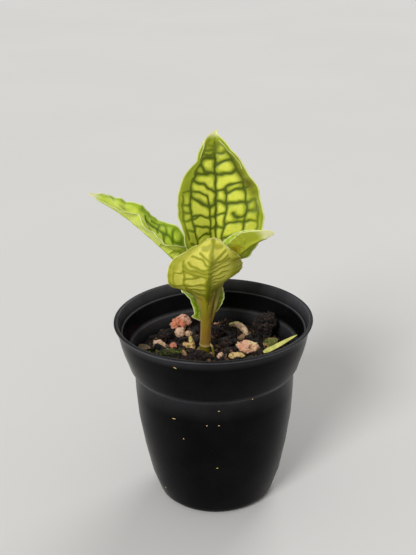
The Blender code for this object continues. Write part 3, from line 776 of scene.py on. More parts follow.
def build_leaf(name, shape, marks, mat, slot):
    """Bends a fine slab into a stalk and a puckered blade with sunken veins, and lays its marks down."""
    mesh = new_mesh(name, thin_slab(*shape["grid"]))
    slab = np.empty(len(mesh.vertices) * 3, np.float32)
    mesh.vertices.foreach_get("co", slab)
    slab = slab.reshape(-1, 3).astype(float)
    row = (slab[:, 0] + 0.5) * (STALK_ROWS + BLADE_ROWS)
    across = slab[:, 1] * 2
    upper = slab[:, 2] > -0.5
    place = np.maximum(row - STALK_ROWS, 0) / BLADE_ROWS
    part = abs(across)
    sign = np.where(across < 0, -1.0, 1.0)
    middle, side, up = leaf_frame(shape, row)
    measure, length = flat_ruler(shape)
    flat = measure(across, place)
    half = curve(shape["widths"], place)

    def both(texts, value_unit):
        first, second = (level(pairs(text, (100, value_unit)), place) for text in texts)
        return np.where(sign < 0, first, second)

    outline = both(shape["margins"], 100) * (1 - shape["taper"] * smooth_step(*TAPER_PLACE, place))
    length_out = half * part * (1 + (outline - 1) * part)
    near_tip = (1 - place) * length
    edge = np.minimum(half * outline * (1 - part), near_tip + 0.15)
    inside = smooth_step(*EDGE_FADE, edge)
    spread = shape["spread"] * (0.84 + 0.4 * place)
    core, halo = line_depth(flat, marks["veins"], measure, spread, shape["soft"])
    vein = smooth_step(*VEIN_RANGE, core) * inside * (1 - 0.35 * smooth_step(*VEIN_FADE, part))
    broad = line_depth(flat, marks.get("bands", ()), measure, 1.0)[0]
    halo = smooth_step(*HALO_RANGE, np.maximum(halo, broad)) * inside
    # Pale lines: painted highlights, also raised a little as ridges
    faint = smooth_step(*PALE_RANGE, line_depth(flat, marks.get("pale", ()), measure, 0.5)[0])
    # Streaks and stains: dark marks, on the right leaf painted shadow
    streak = smooth_step(*STREAK_RANGE, line_depth(flat, marks.get("streaks", ()), measure, 0.6)[0])
    stain = np.maximum(spot_depth(across, place, marks.get("stains", ())), 0.9 * streak)
    rim = 1 - smooth_step(0.25, shape["rim"], edge)

    # The blade: each half rises at its fold, bends by the cup and waves at its margin
    fold = np.radians(both(shape["folds"], 1))
    bend = math.radians(shape["cup"]) * part
    turn = bend + STRAIGHT
    out = length_out * (np.sin(fold + turn) - np.sin(fold)) / turn
    lift = length_out * (np.cos(fold) - np.cos(fold + turn)) / turn
    high, count, shift = shape["ruffle"]
    swell = np.sin(math.pi * place)
    offset = high * np.sin(math.tau * (count * place + shift * (1 + sign))) * swell * part ** 3
    ripple = np.sin(math.tau * (MARGIN_WAVES * place + 0.2 + 0.3 * sign))
    offset += MARGIN_WAVE * ripple * swell * part ** 5
    offset += PUCKER * inside * (0.4 - 0.7 * halo - 0.35 * vein) * smooth_step(0.3, 1.5, near_tip)
    offset += PALE_RIDGE * faint
    ridge = MIDRIB_HEIGHT * np.exp(-((part * half / MIDRIB_SPREAD) ** 2)) * (1 - place)
    thick = MARGIN_THICKNESS + (BLADE_THICKNESS - MARGIN_THICKNESS) * smooth_step(0.0, 3.0, edge)
    offset -= np.where(upper, 0.0, thick + ridge)
    tilt = np.where(part > 0, fold + bend, 0.0)
    out = out - offset * np.sin(tilt)
    lift = lift + offset * np.cos(tilt)

    # The stalk: a round rod that turns into the blade
    angle = math.radians(STALK_ARC) * part
    rod_out = shape["rod"] * np.sin(angle)
    rod_lift = shape["rod"] * np.cos(angle) * np.where(upper, 1, -1) - BLADE_THICKNESS / 2
    mixing = smooth_step(*shape["blend"], row)
    out = rod_out + (out - rod_out) * mixing
    lift = rod_lift + (lift - rod_lift) * mixing
    points = middle + side * (sign * out)[:, None] + up * lift[:, None]
    points[:, 2] += RIM
    mesh.vertices.foreach_set("co", (points * MM).astype(np.float32).ravel())

    blade = row > STALK_ROWS
    attribute(mesh, "vein", vein * smooth_step(1.5, STALK_ROWS, row))
    attribute(mesh, "rim", rim * blade)
    attribute(mesh, "halo", halo)
    attribute(mesh, "low", 1 - smooth_step(0.0, 2.6, row))
    attribute(mesh, "tip", smooth_step(shape["tip"], 0.65 + 0.35 * shape["tip"], place))
    attribute(mesh, "edge", np.where(blade, edge, 9.0))
    attribute(mesh, "place", place)
    # Pale lines carry the painted highlights
    attribute(mesh, "pale", np.where(blade, faint, 0.0))
    # Stains carry the dark marks, on the right leaf painted shadow
    attribute(mesh, "stain", stain)
    attribute(mesh, "outer", smooth_step(*OUTER_PART, part))
    attribute(mesh, "under", np.where(upper, 0.0, 1.0))
    attribute(mesh, "flat", np.concatenate([flat, np.zeros((len(flat), 1))], axis=1))
    mesh.update()
    return add_piece(name + "_blade", mesh, mat, slot, name)


def build_leaves():
    skin = leaf_skin()
    cell, vein, band = (0.92, 0.94, 0.11), (0.085, 0.12, 0.002), (0.37, 0.46, 0.015)
    margin, tip, foot, stain = (0.95, 0.95, 0.42), (0.97, 0.95, 0.55), (0.3, 0.3, 0.02), (0.14, 0.13, 0.003)
    under = ((0.92, 1.0, 0.18), (0.44, 0.6, 0.03), (0.68, 0.84, 0.07), (1.0, 1.0, 0.5), tip,
             (0.5, 0.64, 0.035), (0.3, 0.3, 0.02))
    back = leaf_material("back leaf green", skin, (cell, vein, band, margin, tip, foot, stain), under, 0.18)
    left = leaf_material("left leaf green", skin, (
        (0.88, 1.0, 0.14), (0.12, 0.2, 0.004), (0.4, 0.57, 0.025), (0.97, 0.97, 0.5), (0.97, 0.92, 0.6),
        foot, (0.06, 0.13, 0.003)), under, 0.18)
    olive = leaf_material("front leaf olive", skin, (cell, vein, band, margin, tip, foot, stain), (
        (0.88, 0.83, 0.14), (0.2, 0.22, 0.005), (0.4, 0.41, 0.02), (0.92, 0.88, 0.36), (0.92, 0.82, 0.42),
        (0.36, 0.29, 0.018), (0.2, 0.2, 0.006)), 0.12)
    # The right leaf's stain colours paint shadow, brown on its under face
    right = leaf_material("right leaf green", skin, (
        cell, (0.3, 0.46, 0.01), (0.5, 0.7, 0.03), (1.0, 1.0, 0.5), (1.0, 1.0, 0.7), foot, stain), (
        (0.52, 0.58, 0.04), (0.36, 0.42, 0.018), (0.54, 0.6, 0.05), (0.9, 0.94, 0.34), (1.0, 0.98, 0.56),
        foot, (0.47, 0.31, 0.008)), 0.14)
    low = leaf_material("low leaf green", skin, (
        (0.36, 0.5, 0.02), (0.16, 0.23, 0.006), (0.3, 0.43, 0.015), (0.9, 0.93, 0.4), (0.6, 0.64, 0.16),
        (0.22, 0.26, 0.012), stain), under, 0.1)
    build_leaf("leaf_back", LEAVES["leaf_back"], BACK_MARKS, back, "leaf_green")
    build_leaf("leaf_left", LEAVES["leaf_left"], LEFT_MARKS, left, "leaf_green")
    build_leaf("leaf_front", LEAVES["leaf_front"], FRONT_MARKS, olive, "leaf_olive")
    build_leaf("leaf_right", LEAVES["leaf_right"], RIGHT_MARKS, right, "leaf_green")
    build_leaf("leaf_low", LEAVES["leaf_low"], dict(LOW_MARKS, veins=net_veins(11)), low, "leaf_deep_green")


def turned(profile, sides):
    """Spins a half profile of radius and height points about Z."""
    bm = bmesh.new()
    verts = [bm.verts.new((r, 0.0, z)) for r, z in profile]
    edges = [bm.edges.new(pair) for pair in zip(verts, verts[1:])]
    bmesh.ops.spin(bm, geom=verts + edges, cent=(0, 0, 0), axis=(0, 0, 1),
                   angle=math.tau, steps=sides, use_merge=True)
    bmesh.ops.remove_doubles(bm, verts=bm.verts[:], dist=0.001)
    bmesh.ops.recalc_face_normals(bm, faces=bm.faces[:])
    return bm


def cut_holes(mesh, x_y, low, high, radius, sides):
    """Cuts round upright holes through a mesh in metres, with one Boolean."""
    bm = bmesh.new()
    for x, y in x_y:
        middle = Matrix.Translation(Vector((x, y, (low + high) / 2)) * MM)
        bmesh.ops.create_cone(bm, cap_ends=True, segments=sides, radius1=radius * MM,
                              radius2=radius * MM, depth=(high - low) * MM, matrix=middle)
    tool = place_object("drills", new_mesh("drills", bm))
    work = place_object("work", mesh)
    cut = work.modifiers.new("cut", "BOOLEAN")
    cut.operation = "DIFFERENCE"
    cut.object = tool
    bpy.context.view_layer.update()
    made = bpy.data.meshes.new_from_object(work.evaluated_get(bpy.context.evaluated_depsgraph_get()))
    for obj in (tool, work):
        bpy.data.objects.remove(obj)
    return made


def plastic_material():
    """Thin moulded black plastic, semi-gloss, with faint dust and painted highlights on lip and ledges."""
    mat, tree, shader = new_material("black moulded plastic", 0.05)
    spot = place_in(tree)
    cloud = grain(tree, spot, 60.0, 4.0)
    dust = grain(tree, spot, 1300.0, 2.0, 0.7)
    colour = blend(tree, remap(tree, cloud, 0.35, 0.7), (0.0018, 0.0018, 0.0021), (0.0035, 0.0035, 0.004))
    colour = blend(tree, remap(tree, dust, 0.68, 0.76, 0.0, 0.16), colour, (0.1, 0.095, 0.09))
    shiny = remap(tree, cloud, 0.3, 0.7, 0.2, 0.3)
    # Painted highlight: grey on the lip and ledges where light would glint, patchy by the cloud noise
    painted_highlight_mask = compute(tree, "MULTIPLY", read(tree, "painted_highlight"), remap(tree, cloud, 0.3, 0.6, 0.6, 1.0))
    colour = blend(tree, painted_highlight_mask, colour, (0.105, 0.105, 0.115))
    connect(tree, shader, colour, shiny, grain(tree, spot, 1500.0, 2.0), 0.00003, 0.4)
    return mat


def profile_radius(profile, depth):
    """The radius of one of the pot's profiles at a depth below the rim."""
    radii, depths = zip(*sorted(profile, key=lambda pair: pair[1]))
    return float(np.interp(depth, depths, radii))


def painted_highlight_at(radius, depth):
    """How much grey highlight is painted on the lip and the ledges, at a radius and depth of the pot."""
    total = 0.0
    for at_radius, at_depth, reach, strength in PAINTED_HIGHLIGHTS:
        gap = (radius - at_radius) ** 2 + (depth - at_depth) ** 2
        total = max(total, strength * math.exp(-gap / reach ** 2))
    return total


def build_pot():
    rise = [(r, -depth) for r, depth in POT_OUTSIDE + POT_INSIDE]
    floor = rise[-1][1]
    bm = turned([(0.0, -RIM)] + rise + [(0.0, floor)], POT_SIDES)
    mesh = to_mesh("pot", bm)
    spots = [around((0, 0), (DRAIN_CIRCLE, DRAIN_CIRCLE), 1, math.tau * i / DRAIN_HOLES)
             for i in range(DRAIN_HOLES)]
    mesh = cut_holes(mesh, spots, -DRILL_SPARE, RIM + floor + DRILL_SPARE, DRAIN_RADIUS, DRAIN_SIDES)
    # Painted highlight on the lip and ledges, for each corner
    painted_highlight = [painted_highlight_at(math.hypot(v.co.x, v.co.y) / MM, RIM - v.co.z / MM) for v in mesh.vertices]
    attribute(mesh, "painted_highlight", np.array(painted_highlight))
    obj = add_piece("pot_shell", mesh, plastic_material(), "black_plastic", "pot")
    mesh.set_sharp_from_angle(angle=math.radians(POT_SHARP_ANGLE))
    return obj


def build_flecks(mat):
    """Small pale crumbs stuck to the outside of the pot."""
    draw = random.Random(3)
    bm = bmesh.new()
    for angle, depth, long in FLECKS:
        turn = math.radians(angle)
        radius = profile_radius(POT_OUTSIDE, depth)
        place = Vector((*around((0, 0), (radius, radius), 1, turn), -depth))
        face = Matrix.Rotation(turn, 4, "Z") @ Matrix.Rotation(draw.uniform(-0.6, 0.6), 4, "X")
        stretch = Matrix.Diagonal((FLECK_HALF_THICK, long / 2, FLECK_HALF_TALL, 1.0))
        made = bmesh.ops.create_icosphere(bm, subdivisions=2, radius=1.0,
                                          matrix=Matrix.Translation(place) @ face @ stretch)
        for vert in made["verts"]:
            vert.co += (vert.co - place) * noise.noise(vert.co * 2.0) * 0.5
    mesh = to_mesh("flecks", bm)
    attribute(mesh, "hollow", np.zeros(len(mesh.vertices)))
    add_piece("pot_flecks", mesh, mat, "pumice_tan")


def soil_height(x, y):
    """Height of the mix above its mean level at x and y."""
    height = 0.0
    for pitch, shift, rise in SOIL_WAVES:
        height += rise * noise.noise(Vector((x, y, shift)) * pitch)
    for mound_x, mound_y, radius, rise in SOIL_MOUNDS:
        height += rise * math.exp(-(((x - mound_x) ** 2 + (y - mound_y) ** 2) / radius ** 2))
    return height


def soil_top(x, y):
    """Where the mix's top lies, against the rim."""
    return min(soil_height(x, y) - SOIL_DEPTH, SOIL_TOP)


def mix_material(name, tones):
    """Damp bark and fibre: tones go from the hollows to the dry crests."""
    mat, tree, shader = new_material(name, 0.3)
    big = grain(tree, place_in(tree), 420.0, 5.0, 0.65)
    small, speck, finish = grained(tree, 2600.0, 0.7, (0.55, 0.9), (0.4, 0.66, 0.75))
    colour = ramp(tree, big, zip((0.34, 0.5, 0.6, 0.74), tones))
    colour = blend(tree, speck, colour, tones[0])
    connect(tree, shader, colour, finish, small, 0.0006, 0.9)
    return mat


def crumb_material():
    """Loose crumbs, each with its own tone from near black through red-brown to tan."""
    mat, tree, shader = new_material("loose crumbs", 0.3)
    small, speck, finish = grained(tree, 2600.0, 0.7, (0.5, 0.9), (0.42, 0.66, 0.7))
    colour = ramp(tree, read(tree, "tint"), (
        (0.0, (0.006, 0.005, 0.005)), (0.5, (0.022, 0.016, 0.014)), (0.8, (0.06, 0.03, 0.02)),
        (0.94, (0.18, 0.1, 0.055)), (1.0, (0.5, 0.3, 0.17))))
    colour = blend(tree, speck, colour, (0.006, 0.005, 0.005))
    connect(tree, shader, colour, finish, small, 0.0004, 0.8)
    return mat


def build_mix(mat):
    """The mix fills the pot, with a lumpy top."""
    edge_depth = SOIL_DEPTH + SOIL_EDGE_DROP
    reach = profile_radius(POT_INSIDE, edge_depth) - WALL_GAP
    rings = [(r, -SOIL_DEPTH) for r in np.arange(0.0, reach - 0.3, SOIL_RING_STEP)]
    wall = [(r - WALL_GAP, -depth) for r, depth in POT_INSIDE if depth > edge_depth]
    foot = -(POT_INSIDE[-1][1] - WALL_GAP)
    bm = turned(rings + [(reach, -edge_depth)] + wall[:-1] + [(wall[-1][0], foot), (0.0, foot)], SOIL_SIDES)
    for vert in bm.verts:
        if vert.co.z > -edge_depth + SOIL_EDGE_DROP / 2:
            vert.co.z = soil_top(vert.co.x, vert.co.y)
    return add_piece("mix_top", to_mesh("mix", bm), mat, "mix", "potting_mix")


# Stones and clods: how hard their lobes meet, how softly their facets cut, how fine their noise
# is, and the noise level from which a pit opens
LOBE_HARDNESS = 10
FACET_SOFTNESS = 0.06
STONE_PITCH = 1.5
CLOD_PITCH = 1.8
PIT_LEVEL = 0.2


def star_radius(way, lobes):
    """How far a soft union of balls round the origin reaches in one direction."""
    total = 0.0
    for x, y, z, radius in lobes:
        centre = Vector((x, y, z))
        ahead = centre.dot(way)
        inside = radius * radius - centre.length_squared + ahead * ahead
        reach = ahead + math.sqrt(inside) if inside > 0 else 0.0
        total += math.exp(LOBE_HARDNESS * max(reach, 0.0))
    return math.log(total) / LOBE_HARDNESS


def build_lump(name, lobes, seed, detail, roughness, pitch, mat, slot, pits=0.0, crust=0.0, facets=0):
    """A stone or a clod that fills its node's box, from lobes, facets, rough noise and pits."""
    low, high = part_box(name)
    draw = random.Random(seed)
    cuts = [(any_way(draw), draw.uniform(0.62, 0.9)) for _ in range(facets)]
    bm = bmesh.new()
    bmesh.ops.create_icosphere(bm, subdivisions=detail, radius=1.0)
    shift = Vector((seed * 7.3, seed * 2.1, 0))
    hollows = []
    for vert in bm.verts:
        way = vert.co.normalized()
        reach = star_radius(way, lobes)
        for normal, distance in cuts:
            toward = way.dot(normal)
            if toward > 0.3:
                reach = min(reach, distance / toward + FACET_SOFTNESS)
        spot = way * reach
        bulge = noise.fractal(spot * pitch + shift, 0.8, 2.0, 5)
        reach *= 1 + roughness * bulge
        hollow = max(noise.noise(spot * pitch * 1.5 + shift) - PIT_LEVEL, 0.0) if pits else 0.0
        reach -= pits * hollow
        hollows.append(min(hollow * 3.0, 1.0))
        if crust:
            near = noise.voronoi(spot * pitch * 1.8 + shift)[0][0]
            reach += crust * (0.5 - near)
        vert.co = way * reach
    coords = np.array([vert.co for vert in bm.verts])
    least, most = coords.min(0), coords.max(0)
    for vert in bm.verts:
        for axis in range(3):
            share = (vert.co[axis] - least[axis]) / (most[axis] - least[axis])
            vert.co[axis] = low[axis] + (high[axis] - low[axis]) * share
    mesh = new_mesh(name, bm)
    attribute(mesh, "hollow", np.array(hollows))
    return add_piece(name + "_stone", mesh, mat, slot, name)


def stone_material(name, pale, mid, dark, stain):
    """A porous stone: pale and mid tones, wide stains, and dark in its pits."""
    mat, tree, shader = new_material(name)
    spot = place_in(tree)
    big = grain(tree, spot, 420.0, 4.0, 0.55)
    small, speck, finish = grained(tree, 2600.0, 0.7, (0.6, 0.85), (0.56, 0.72, 0.6))
    colour = ramp(tree, big, ((0.34, mid), (0.52, pale), (0.7, mid)))
    colour = blend(tree, remap(tree, grain(tree, spot, 190.0, 2.0), 0.46, 0.6, 0.0, 0.85), colour, stain)
    colour = blend(tree, speck, colour, dark)
    colour = blend(tree, compute(tree, "MULTIPLY", read(tree, "hollow"), 0.85), colour, dark)
    connect(tree, shader, colour, finish, small, 0.0004, 0.6)
    return mat


# Kinds of stone: slot, name of the look, and its pale, mid, dark and stained tones
STONE_KINDS = {
    "pink": ("pumice_pink", "pink pumice",
             (0.78, 0.46, 0.33), (0.6, 0.28, 0.18), (0.17, 0.07, 0.05), (0.78, 0.24, 0.12)),
    "tan": ("pumice_tan", "tan pumice",
            (0.84, 0.56, 0.4), (0.6, 0.36, 0.23), (0.2, 0.1, 0.05), (0.62, 0.42, 0.22)),
    "cream": ("pumice_cream", "cream pumice",
              (0.76, 0.55, 0.22), (0.55, 0.35, 0.12), (0.26, 0.13, 0.04), (0.62, 0.52, 0.14)),
    "pale": ("pumice_tan", "pale pink pumice",
             (0.84, 0.5, 0.33), (0.64, 0.28, 0.16), (0.28, 0.11, 0.06), (0.86, 0.72, 0.36)),
    "mossy": ("moss", "mossy bark",
              (0.5, 0.3, 0.13), (0.3, 0.19, 0.07), (0.07, 0.05, 0.02), (0.1, 0.14, 0.015)),
}
# Stones: node, kind, lobes as x, y, z and radius in a unit box, fineness, depth of pits, number of
# facets, and roughness
STONES = (
    ("pumice_large", "pink", ((0, 0, -0.1, 0.75), (-0.72, 0, -0.12, 0.5), (0.3, 0, 0.4, 0.5),
                              (0.78, 0, 0.1, 0.42), (-0.1, -0.4, 0.2, 0.45)), 6, 0.34, 9, 0.2),
    ("pumice_round", "tan", ((0, 0, 0, 1.0), (0.3, 0.1, 0.2, 0.8)), 5, 0.1, 4, 0.12),
    ("pumice_bit", "tan", ((0, 0, 0, 0.8), (-0.4, 0, 0.2, 0.5)), 5, 0.2, 9, 0.2),
    ("pumice_forked", "cream", ((0.35, 0, -0.5, 0.62), (0.35, 0, 0.0, 0.5), (0.25, 0, 0.55, 0.4),
                                (0.1, 0, 0.95, 0.26), (-0.4, 0, -0.2, 0.4), (-0.85, 0, 0.0, 0.32)),
     6, 0.1, 0, 0.12),
    ("pumice_left", "tan", ((-0.1, 0, 0.1, 0.6), (-0.65, 0, 0.05, 0.5), (0.75, 0, -0.1, 0.45)),
     5, 0.3, 9, 0.2),
    ("pumice_orange", "pink", ((0, 0, 0, 0.8), (-0.5, 0, 0.3, 0.45), (0.5, 0, -0.1, 0.5)), 5, 0.3, 9, 0.2),
    ("pumice_right", "pale", ((-0.2, 0, 0.1, 0.75), (-0.7, 0, 0.4, 0.5), (0.6, 0, -0.1, 0.62),
                              (0.95, 0, -0.3, 0.4), (-0.1, -0.3, -0.3, 0.5)), 6, 0.38, 8, 0.24),
    ("pumice_pale", "cream", ((-0.35, 0, 0, 0.62), (0.35, 0, 0.05, 0.58), (0.85, 0, 0, 0.4)),
     5, 0.12, 6, 0.12),
    ("pumice_small", "tan", ((0.3, 0, 0.3, 0.62), (-0.3, 0, -0.3, 0.62), (-0.3, 0, 0.35, 0.55)),
     5, 0.15, 9, 0.2),
    ("pumice_chip", "pink", ((-0.5, 0, 0.1, 0.5), (0.4, 0, 0, 0.55)), 5, 0.2, 9, 0.2),
    ("mossy_piece", "mossy", ((-0.3, 0, 0, 0.75), (0.4, 0, 0.1, 0.65)), 5, 0.3, 9, 0.25),
)
CLOD_LOBES = ((0, 0, 0, 0.7), (0.5, 0.2, 0.3, 0.5), (-0.5, -0.2, 0.2, 0.5), (0.1, -0.4, -0.3, 0.5))
# Clods of bark: node, seed and number of crumbs stuck on it
CLODS = (("bark_left", 1, 150), ("bark_middle", 2, 110), ("bark_front", 3, 200), ("bark_lump", 4, 320))


def build_loose_pieces(mix):
    mats = {kind: stone_material(name, *tones) for kind, (_, name, *tones) in STONE_KINDS.items()}
    for i, (name, kind, lobes, detail, pits, facets, rough) in enumerate(STONES):
        slot = STONE_KINDS[kind][0]
        build_lump(name, lobes, i + 1, detail, rough, STONE_PITCH, mats[kind], slot, pits=pits, facets=facets)
    clod = mix_material("damp bark", (
        (0.003, 0.002, 0.002), (0.018, 0.012, 0.011), (0.05, 0.031, 0.026), (0.11, 0.07, 0.055)))
    for name, seed, _ in CLODS:
        build_lump(name, CLOD_LOBES, seed + 20, 6, 0.4, CLOD_PITCH, clod, "bark", crust=0.5)
    build_lump("moss_patch", ((0, 0, 0, 1.0),), 32, 5, 0.2, 2.0, mix, "moss", crust=0.15)
    build_flecks(mats["cream"])
    build_crumbs()
    build_moss()


def crumb(bm, place, size, detail, draw, tints, tint):
    """Adds one rough crumb, and notes the tone of its corners."""
    turn = Matrix.Rotation(draw.uniform(0, math.tau), 4, any_way(draw))
    stretch = Matrix.Diagonal((draw.uniform(0.8, 1.5), draw.uniform(0.6, 1.1), draw.uniform(0.45, 0.9), 1.0))
    made = bmesh.ops.create_icosphere(bm, subdivisions=detail, radius=size / 2,
                                      matrix=Matrix.Translation(place) @ turn @ stretch)
    shift = Vector((draw.uniform(0, 50), 0, 0))
    for vert in made["verts"]:
        away = vert.co - place
        rough = 1 + 0.75 * noise.noise(away * (1.6 / size) + shift)
        vert.co = place + away * rough
        tints.append(tint)


def build_crumbs():
    """Crumbs, bark bits and fibres lying on the mix and stuck on the clods."""
    draw = random.Random(8)
    mat = crumb_material()
    reach = profile_radius(POT_INSIDE, SOIL_DEPTH) - CRUMB_WALL_GAP
    for index, (count, least, most, detail) in enumerate(CRUMB_BATCHES):
        bm = bmesh.new()
        tints = []
        for _ in range(count):
            size = draw.uniform(least, most)
            far = (reach - size / 2) * math.sqrt(draw.random())
            angle = draw.uniform(0, math.tau)
            x, y = around((0, 0), (1, 1), far, angle)
            place = Vector((x, y, soil_top(x, y) + 0.15 * size))
            crumb(bm, place, size, detail, draw, tints, draw.random() ** 0.8)
        for _ in range(MOUND_CRUMBS[index]):
            far, angle = draw.random() ** 0.6, draw.uniform(0, math.tau)
            x, y = around(MOUND_CENTRE, MOUND_REACH, far, angle)
            rise = MOUND_RISE * (1 - far * far) * draw.uniform(0.7, 1.0)
            place = Vector((x, y, MOUND_FOOT + rise))
            crumb(bm, place, draw.uniform(1.0, 2.4), detail, draw, tints, draw.uniform(0.1, 0.72))
        mesh = to_mesh("crumbs", bm)
        attribute(mesh, "tint", np.array(tints))
        add_piece(f"crumbs_{index}", mesh, mat, "mix")
    bm = bmesh.new()
    tints = []
    for name, _, count in CLODS:
        middle, half = inner_box(name)
        for _ in range(count):
            way = Vector((draw.gauss(0, 1), draw.gauss(0, 1), abs(draw.gauss(0.3, 1)))).normalized()
            size = draw.uniform(0.7, 2.3)
            girth = Vector([max(h - size * 0.5, 0.3) for h in half])
            place = middle + Vector([w * g for w, g in zip(way, girth)]) * draw.uniform(0.82, 0.97)
            crumb(bm, place, size, 1, draw, tints, draw.random() * 0.86)
    mesh = to_mesh("clod_crumbs", bm)
    attribute(mesh, "tint", np.array(tints))
    add_piece("clod_crumbs", mesh, mat, "bark")
    build_fibres(mat)


def build_fibres(mat):
    """Short bent fibres lying across the mix."""
    draw = random.Random(5)
    bm = bmesh.new()
    for _ in range(FIBRE_COUNT):
        far = FIBRE_REACH * math.sqrt(draw.random())
        angle, heading = draw.uniform(0, math.tau), draw.uniform(0, math.tau)
        long, sway = draw.uniform(*FIBRE_LENGTH), draw.uniform(-0.5, 0.5)
        line = []
        for step in (-0.5, 0.0, 0.5):
            x = far * math.cos(angle) + long * step * math.cos(heading) + sway * (step * step) * 4
            y = far * math.sin(angle) + long * step * math.sin(heading)
            line.append((x, y, soil_top(x, y) + 0.35 + 0.5 * (step == 0.0)))
        girth = draw.uniform(*FIBRE_RADIUS)
        tube(bm, line, (girth, girth, girth * 0.6), rows=7, sides=5)
    mesh = to_mesh("fibres", bm)
    attribute(mesh, "tint", np.full(len(mesh.vertices), 0.93))
    add_piece("fibres", mesh, mat, "mix")


def moss_material():
    mat, tree, shader = new_material("living moss")
    big, _, finish = grained(tree, 700.0, 0.55, (0.5, 0.8))
    colour = ramp(tree, big, (
        (0.35, (0.05, 0.07, 0.008)), (0.52, (0.14, 0.19, 0.015)), (0.66, (0.34, 0.38, 0.05))))
    connect(tree, shader, colour, finish, big, 0.0002, 0.4)
    return mat


def moss_leaf(bm, draw, place, tilt, radius, least, most):
    """Adds one pointed leaf that leans about a tilt."""
    lean = Vector((draw.gauss(tilt[0], 0.5), draw.gauss(tilt[1], 0.5), 1.0)).normalized()
    bmesh.ops.create_cone(bm, cap_ends=True, segments=4, radius1=radius, radius2=0.02,
                          depth=draw.uniform(least, most), matrix=Matrix.Translation(place) @ facing(lean))


def build_moss():
    """Tiny pointed leaves on the moss patch, on the mossy piece and on the mix beside the patch."""
    draw = random.Random(12)
    bm = bmesh.new()
    for name, count in MOSS_LEAVES:
        middle, half = inner_box(name)
        for _ in range(count):
            x, y = draw.uniform(-1, 1), draw.uniform(-1, 1)
            if x * x + y * y > 0.95:
                continue
            rise = math.sqrt(1 - x * x - y * y)
            place = middle + Vector((x * half.x * 0.95, y * half.y * 0.95, half.z * (rise * 0.9 - 0.1)))
            moss_leaf(bm, draw, place, (x * 0.6, y * 0.6), 0.17, 0.5, 1.1)
    for _ in range(MOSS_CARPET):
        far, angle = draw.random() ** 0.5, draw.uniform(0, math.tau)
        x, y = around(MOSS_CENTRE, MOSS_REACH, far, angle)
        if noise.noise(Vector((x, y, 4.0)) * 0.45) < -0.05:
            continue
        moss_leaf(bm, draw, Vector((x, y, soil_top(x, y) + 0.35)), (0, 0), 0.2, 0.6, 1.3)
    add_piece("moss_leaves", to_mesh("moss_leaves", bm), moss_material(), "moss")


def stem_material():
    """Olive stem: tan stripes at its sides, browner towards the joint, dark green under it."""
    mat, tree, shader = new_material("stem skin", 0.35)
    spot = place_in(tree)
    height = node(tree, "ShaderNodeSeparateXYZ", {0: spot}).outputs[2]
    share = node(tree, "ShaderNodeMapRange", {0: height, 1: (RIM - 20) * MM, 2: (RIM + 8) * MM}).outputs[0]
    colour = ramp(tree, share, (
        (0.0, (0.15, 0.12, 0.003)), (0.18, (0.19, 0.15, 0.004)), (0.2, (0.5, 0.38, 0.13)),
        (0.22, (0.4, 0.26, 0.08)), (0.25, (0.3, 0.18, 0.03)), (0.45, (0.33, 0.19, 0.022)),
        (0.65, (0.36, 0.26, 0.018)), (1.0, (0.37, 0.3, 0.018))))
    stretched = node(tree, "ShaderNodeMapping", {0: spot, 3: (1.0, 1.0, 0.05)}).outputs[0]
    streaks = grain(tree, stretched, 1900.0, 3.0)
    colour = blend(tree, remap(tree, streaks, 0.42, 0.68, 0.0, 0.5), colour, (0.15, 0.11, 0.015))
    flank = compute(tree, "MULTIPLY", read(tree, "flank"), remap(tree, share, 0.22, 0.35, 0.0, 0.75))
    colour = blend(tree, flank, colour, (0.5, 0.33, 0.14))
    connect(tree, shader, colour, remap(tree, streaks, 0.3, 0.7, 0.36, 0.52), streaks, 0.0001, 0.5)
    return mat


# Points of the rods, the stem's with its radius there, and of the dry strips. The bit of dead root
# bends round ROOT_BEND, and turns green between the two distances of ROOT_OUTSIDE from there
STEM = (
    (-4.3, 1.4, -29.0, 1.9), (-4.1, 1.3, -20.0, 2.4), (-4.0, 1.2, -15.6, 2.45), (-3.9, 1.1, -14.2, 2.75),
    (-3.8, 1.0, -12.8, 2.5), (-3.5, 0.7, -6.0, 2.4), (-3.1, 0.1, 4.0, 2.3), (-3.0, -0.2, 6.4, 2.2),
)
STEM_RADIUS = 2.4
ROOT = ((-2.4, 0.8, -13.6), (-0.9, -0.6, -14.6), (-0.3, -1.6, -17.0), (0.0, -2.1, -19.2))
ROOT_PIECE = ((8.0, 28.6, -17.8), (11.7, 26.9, -17.0), (15.0, 22.0, -17.6), (16.4, 16.2, -18.9))
ROOT_BEND = (8.5, 18.5)
ROOT_OUTSIDE = (8.4, 9.6)
STRIP_THICKNESS = 0.35
STRIP_SLANT = (0.0, 0.8, 0.6)
STRIP_RIGHT = ((22.8, 0.0, -18.6), (28.0, 0.6, -16.4), (33.2, 1.8, -14.0), (38.5, 3.1, -11.5))
STRIP_LEFT = ((-35.2, 6.4, -18.4), (-32.2, 6.2, -18.0), (-29.2, 6.0, -18.2))


def tube(bm, points, radii, rows, sides):
    """A round rod through points, smooth along its length, with closed ends."""
    heights = np.linspace(0, 1, rows)
    line = curve(np.array(points, float), heights)
    girth = curve(np.array(radii, float), heights)
    rings = []
    for i in range(rows):
        before, after = Vector(line[max(i - 1, 0)]), Vector(line[min(i + 1, rows - 1)])
        place = Matrix.Translation(Vector(line[i])) @ facing(after - before)
        made = bmesh.ops.create_circle(bm, segments=sides, radius=float(girth[i]), matrix=place)
        rings.append(made["verts"])
    for low, high in zip(rings, rings[1:]):
        edges = {e for v in low + high for e in v.link_edges}
        loops = [e for e in edges if set(e.verts) <= set(low) or set(e.verts) <= set(high)]
        bmesh.ops.bridge_loops(bm, edges=loops)
    for end in (rings[0], rings[-1]):
        bmesh.ops.contextual_create(bm, geom=end)
    bmesh.ops.recalc_face_normals(bm, faces=bm.faces[:])


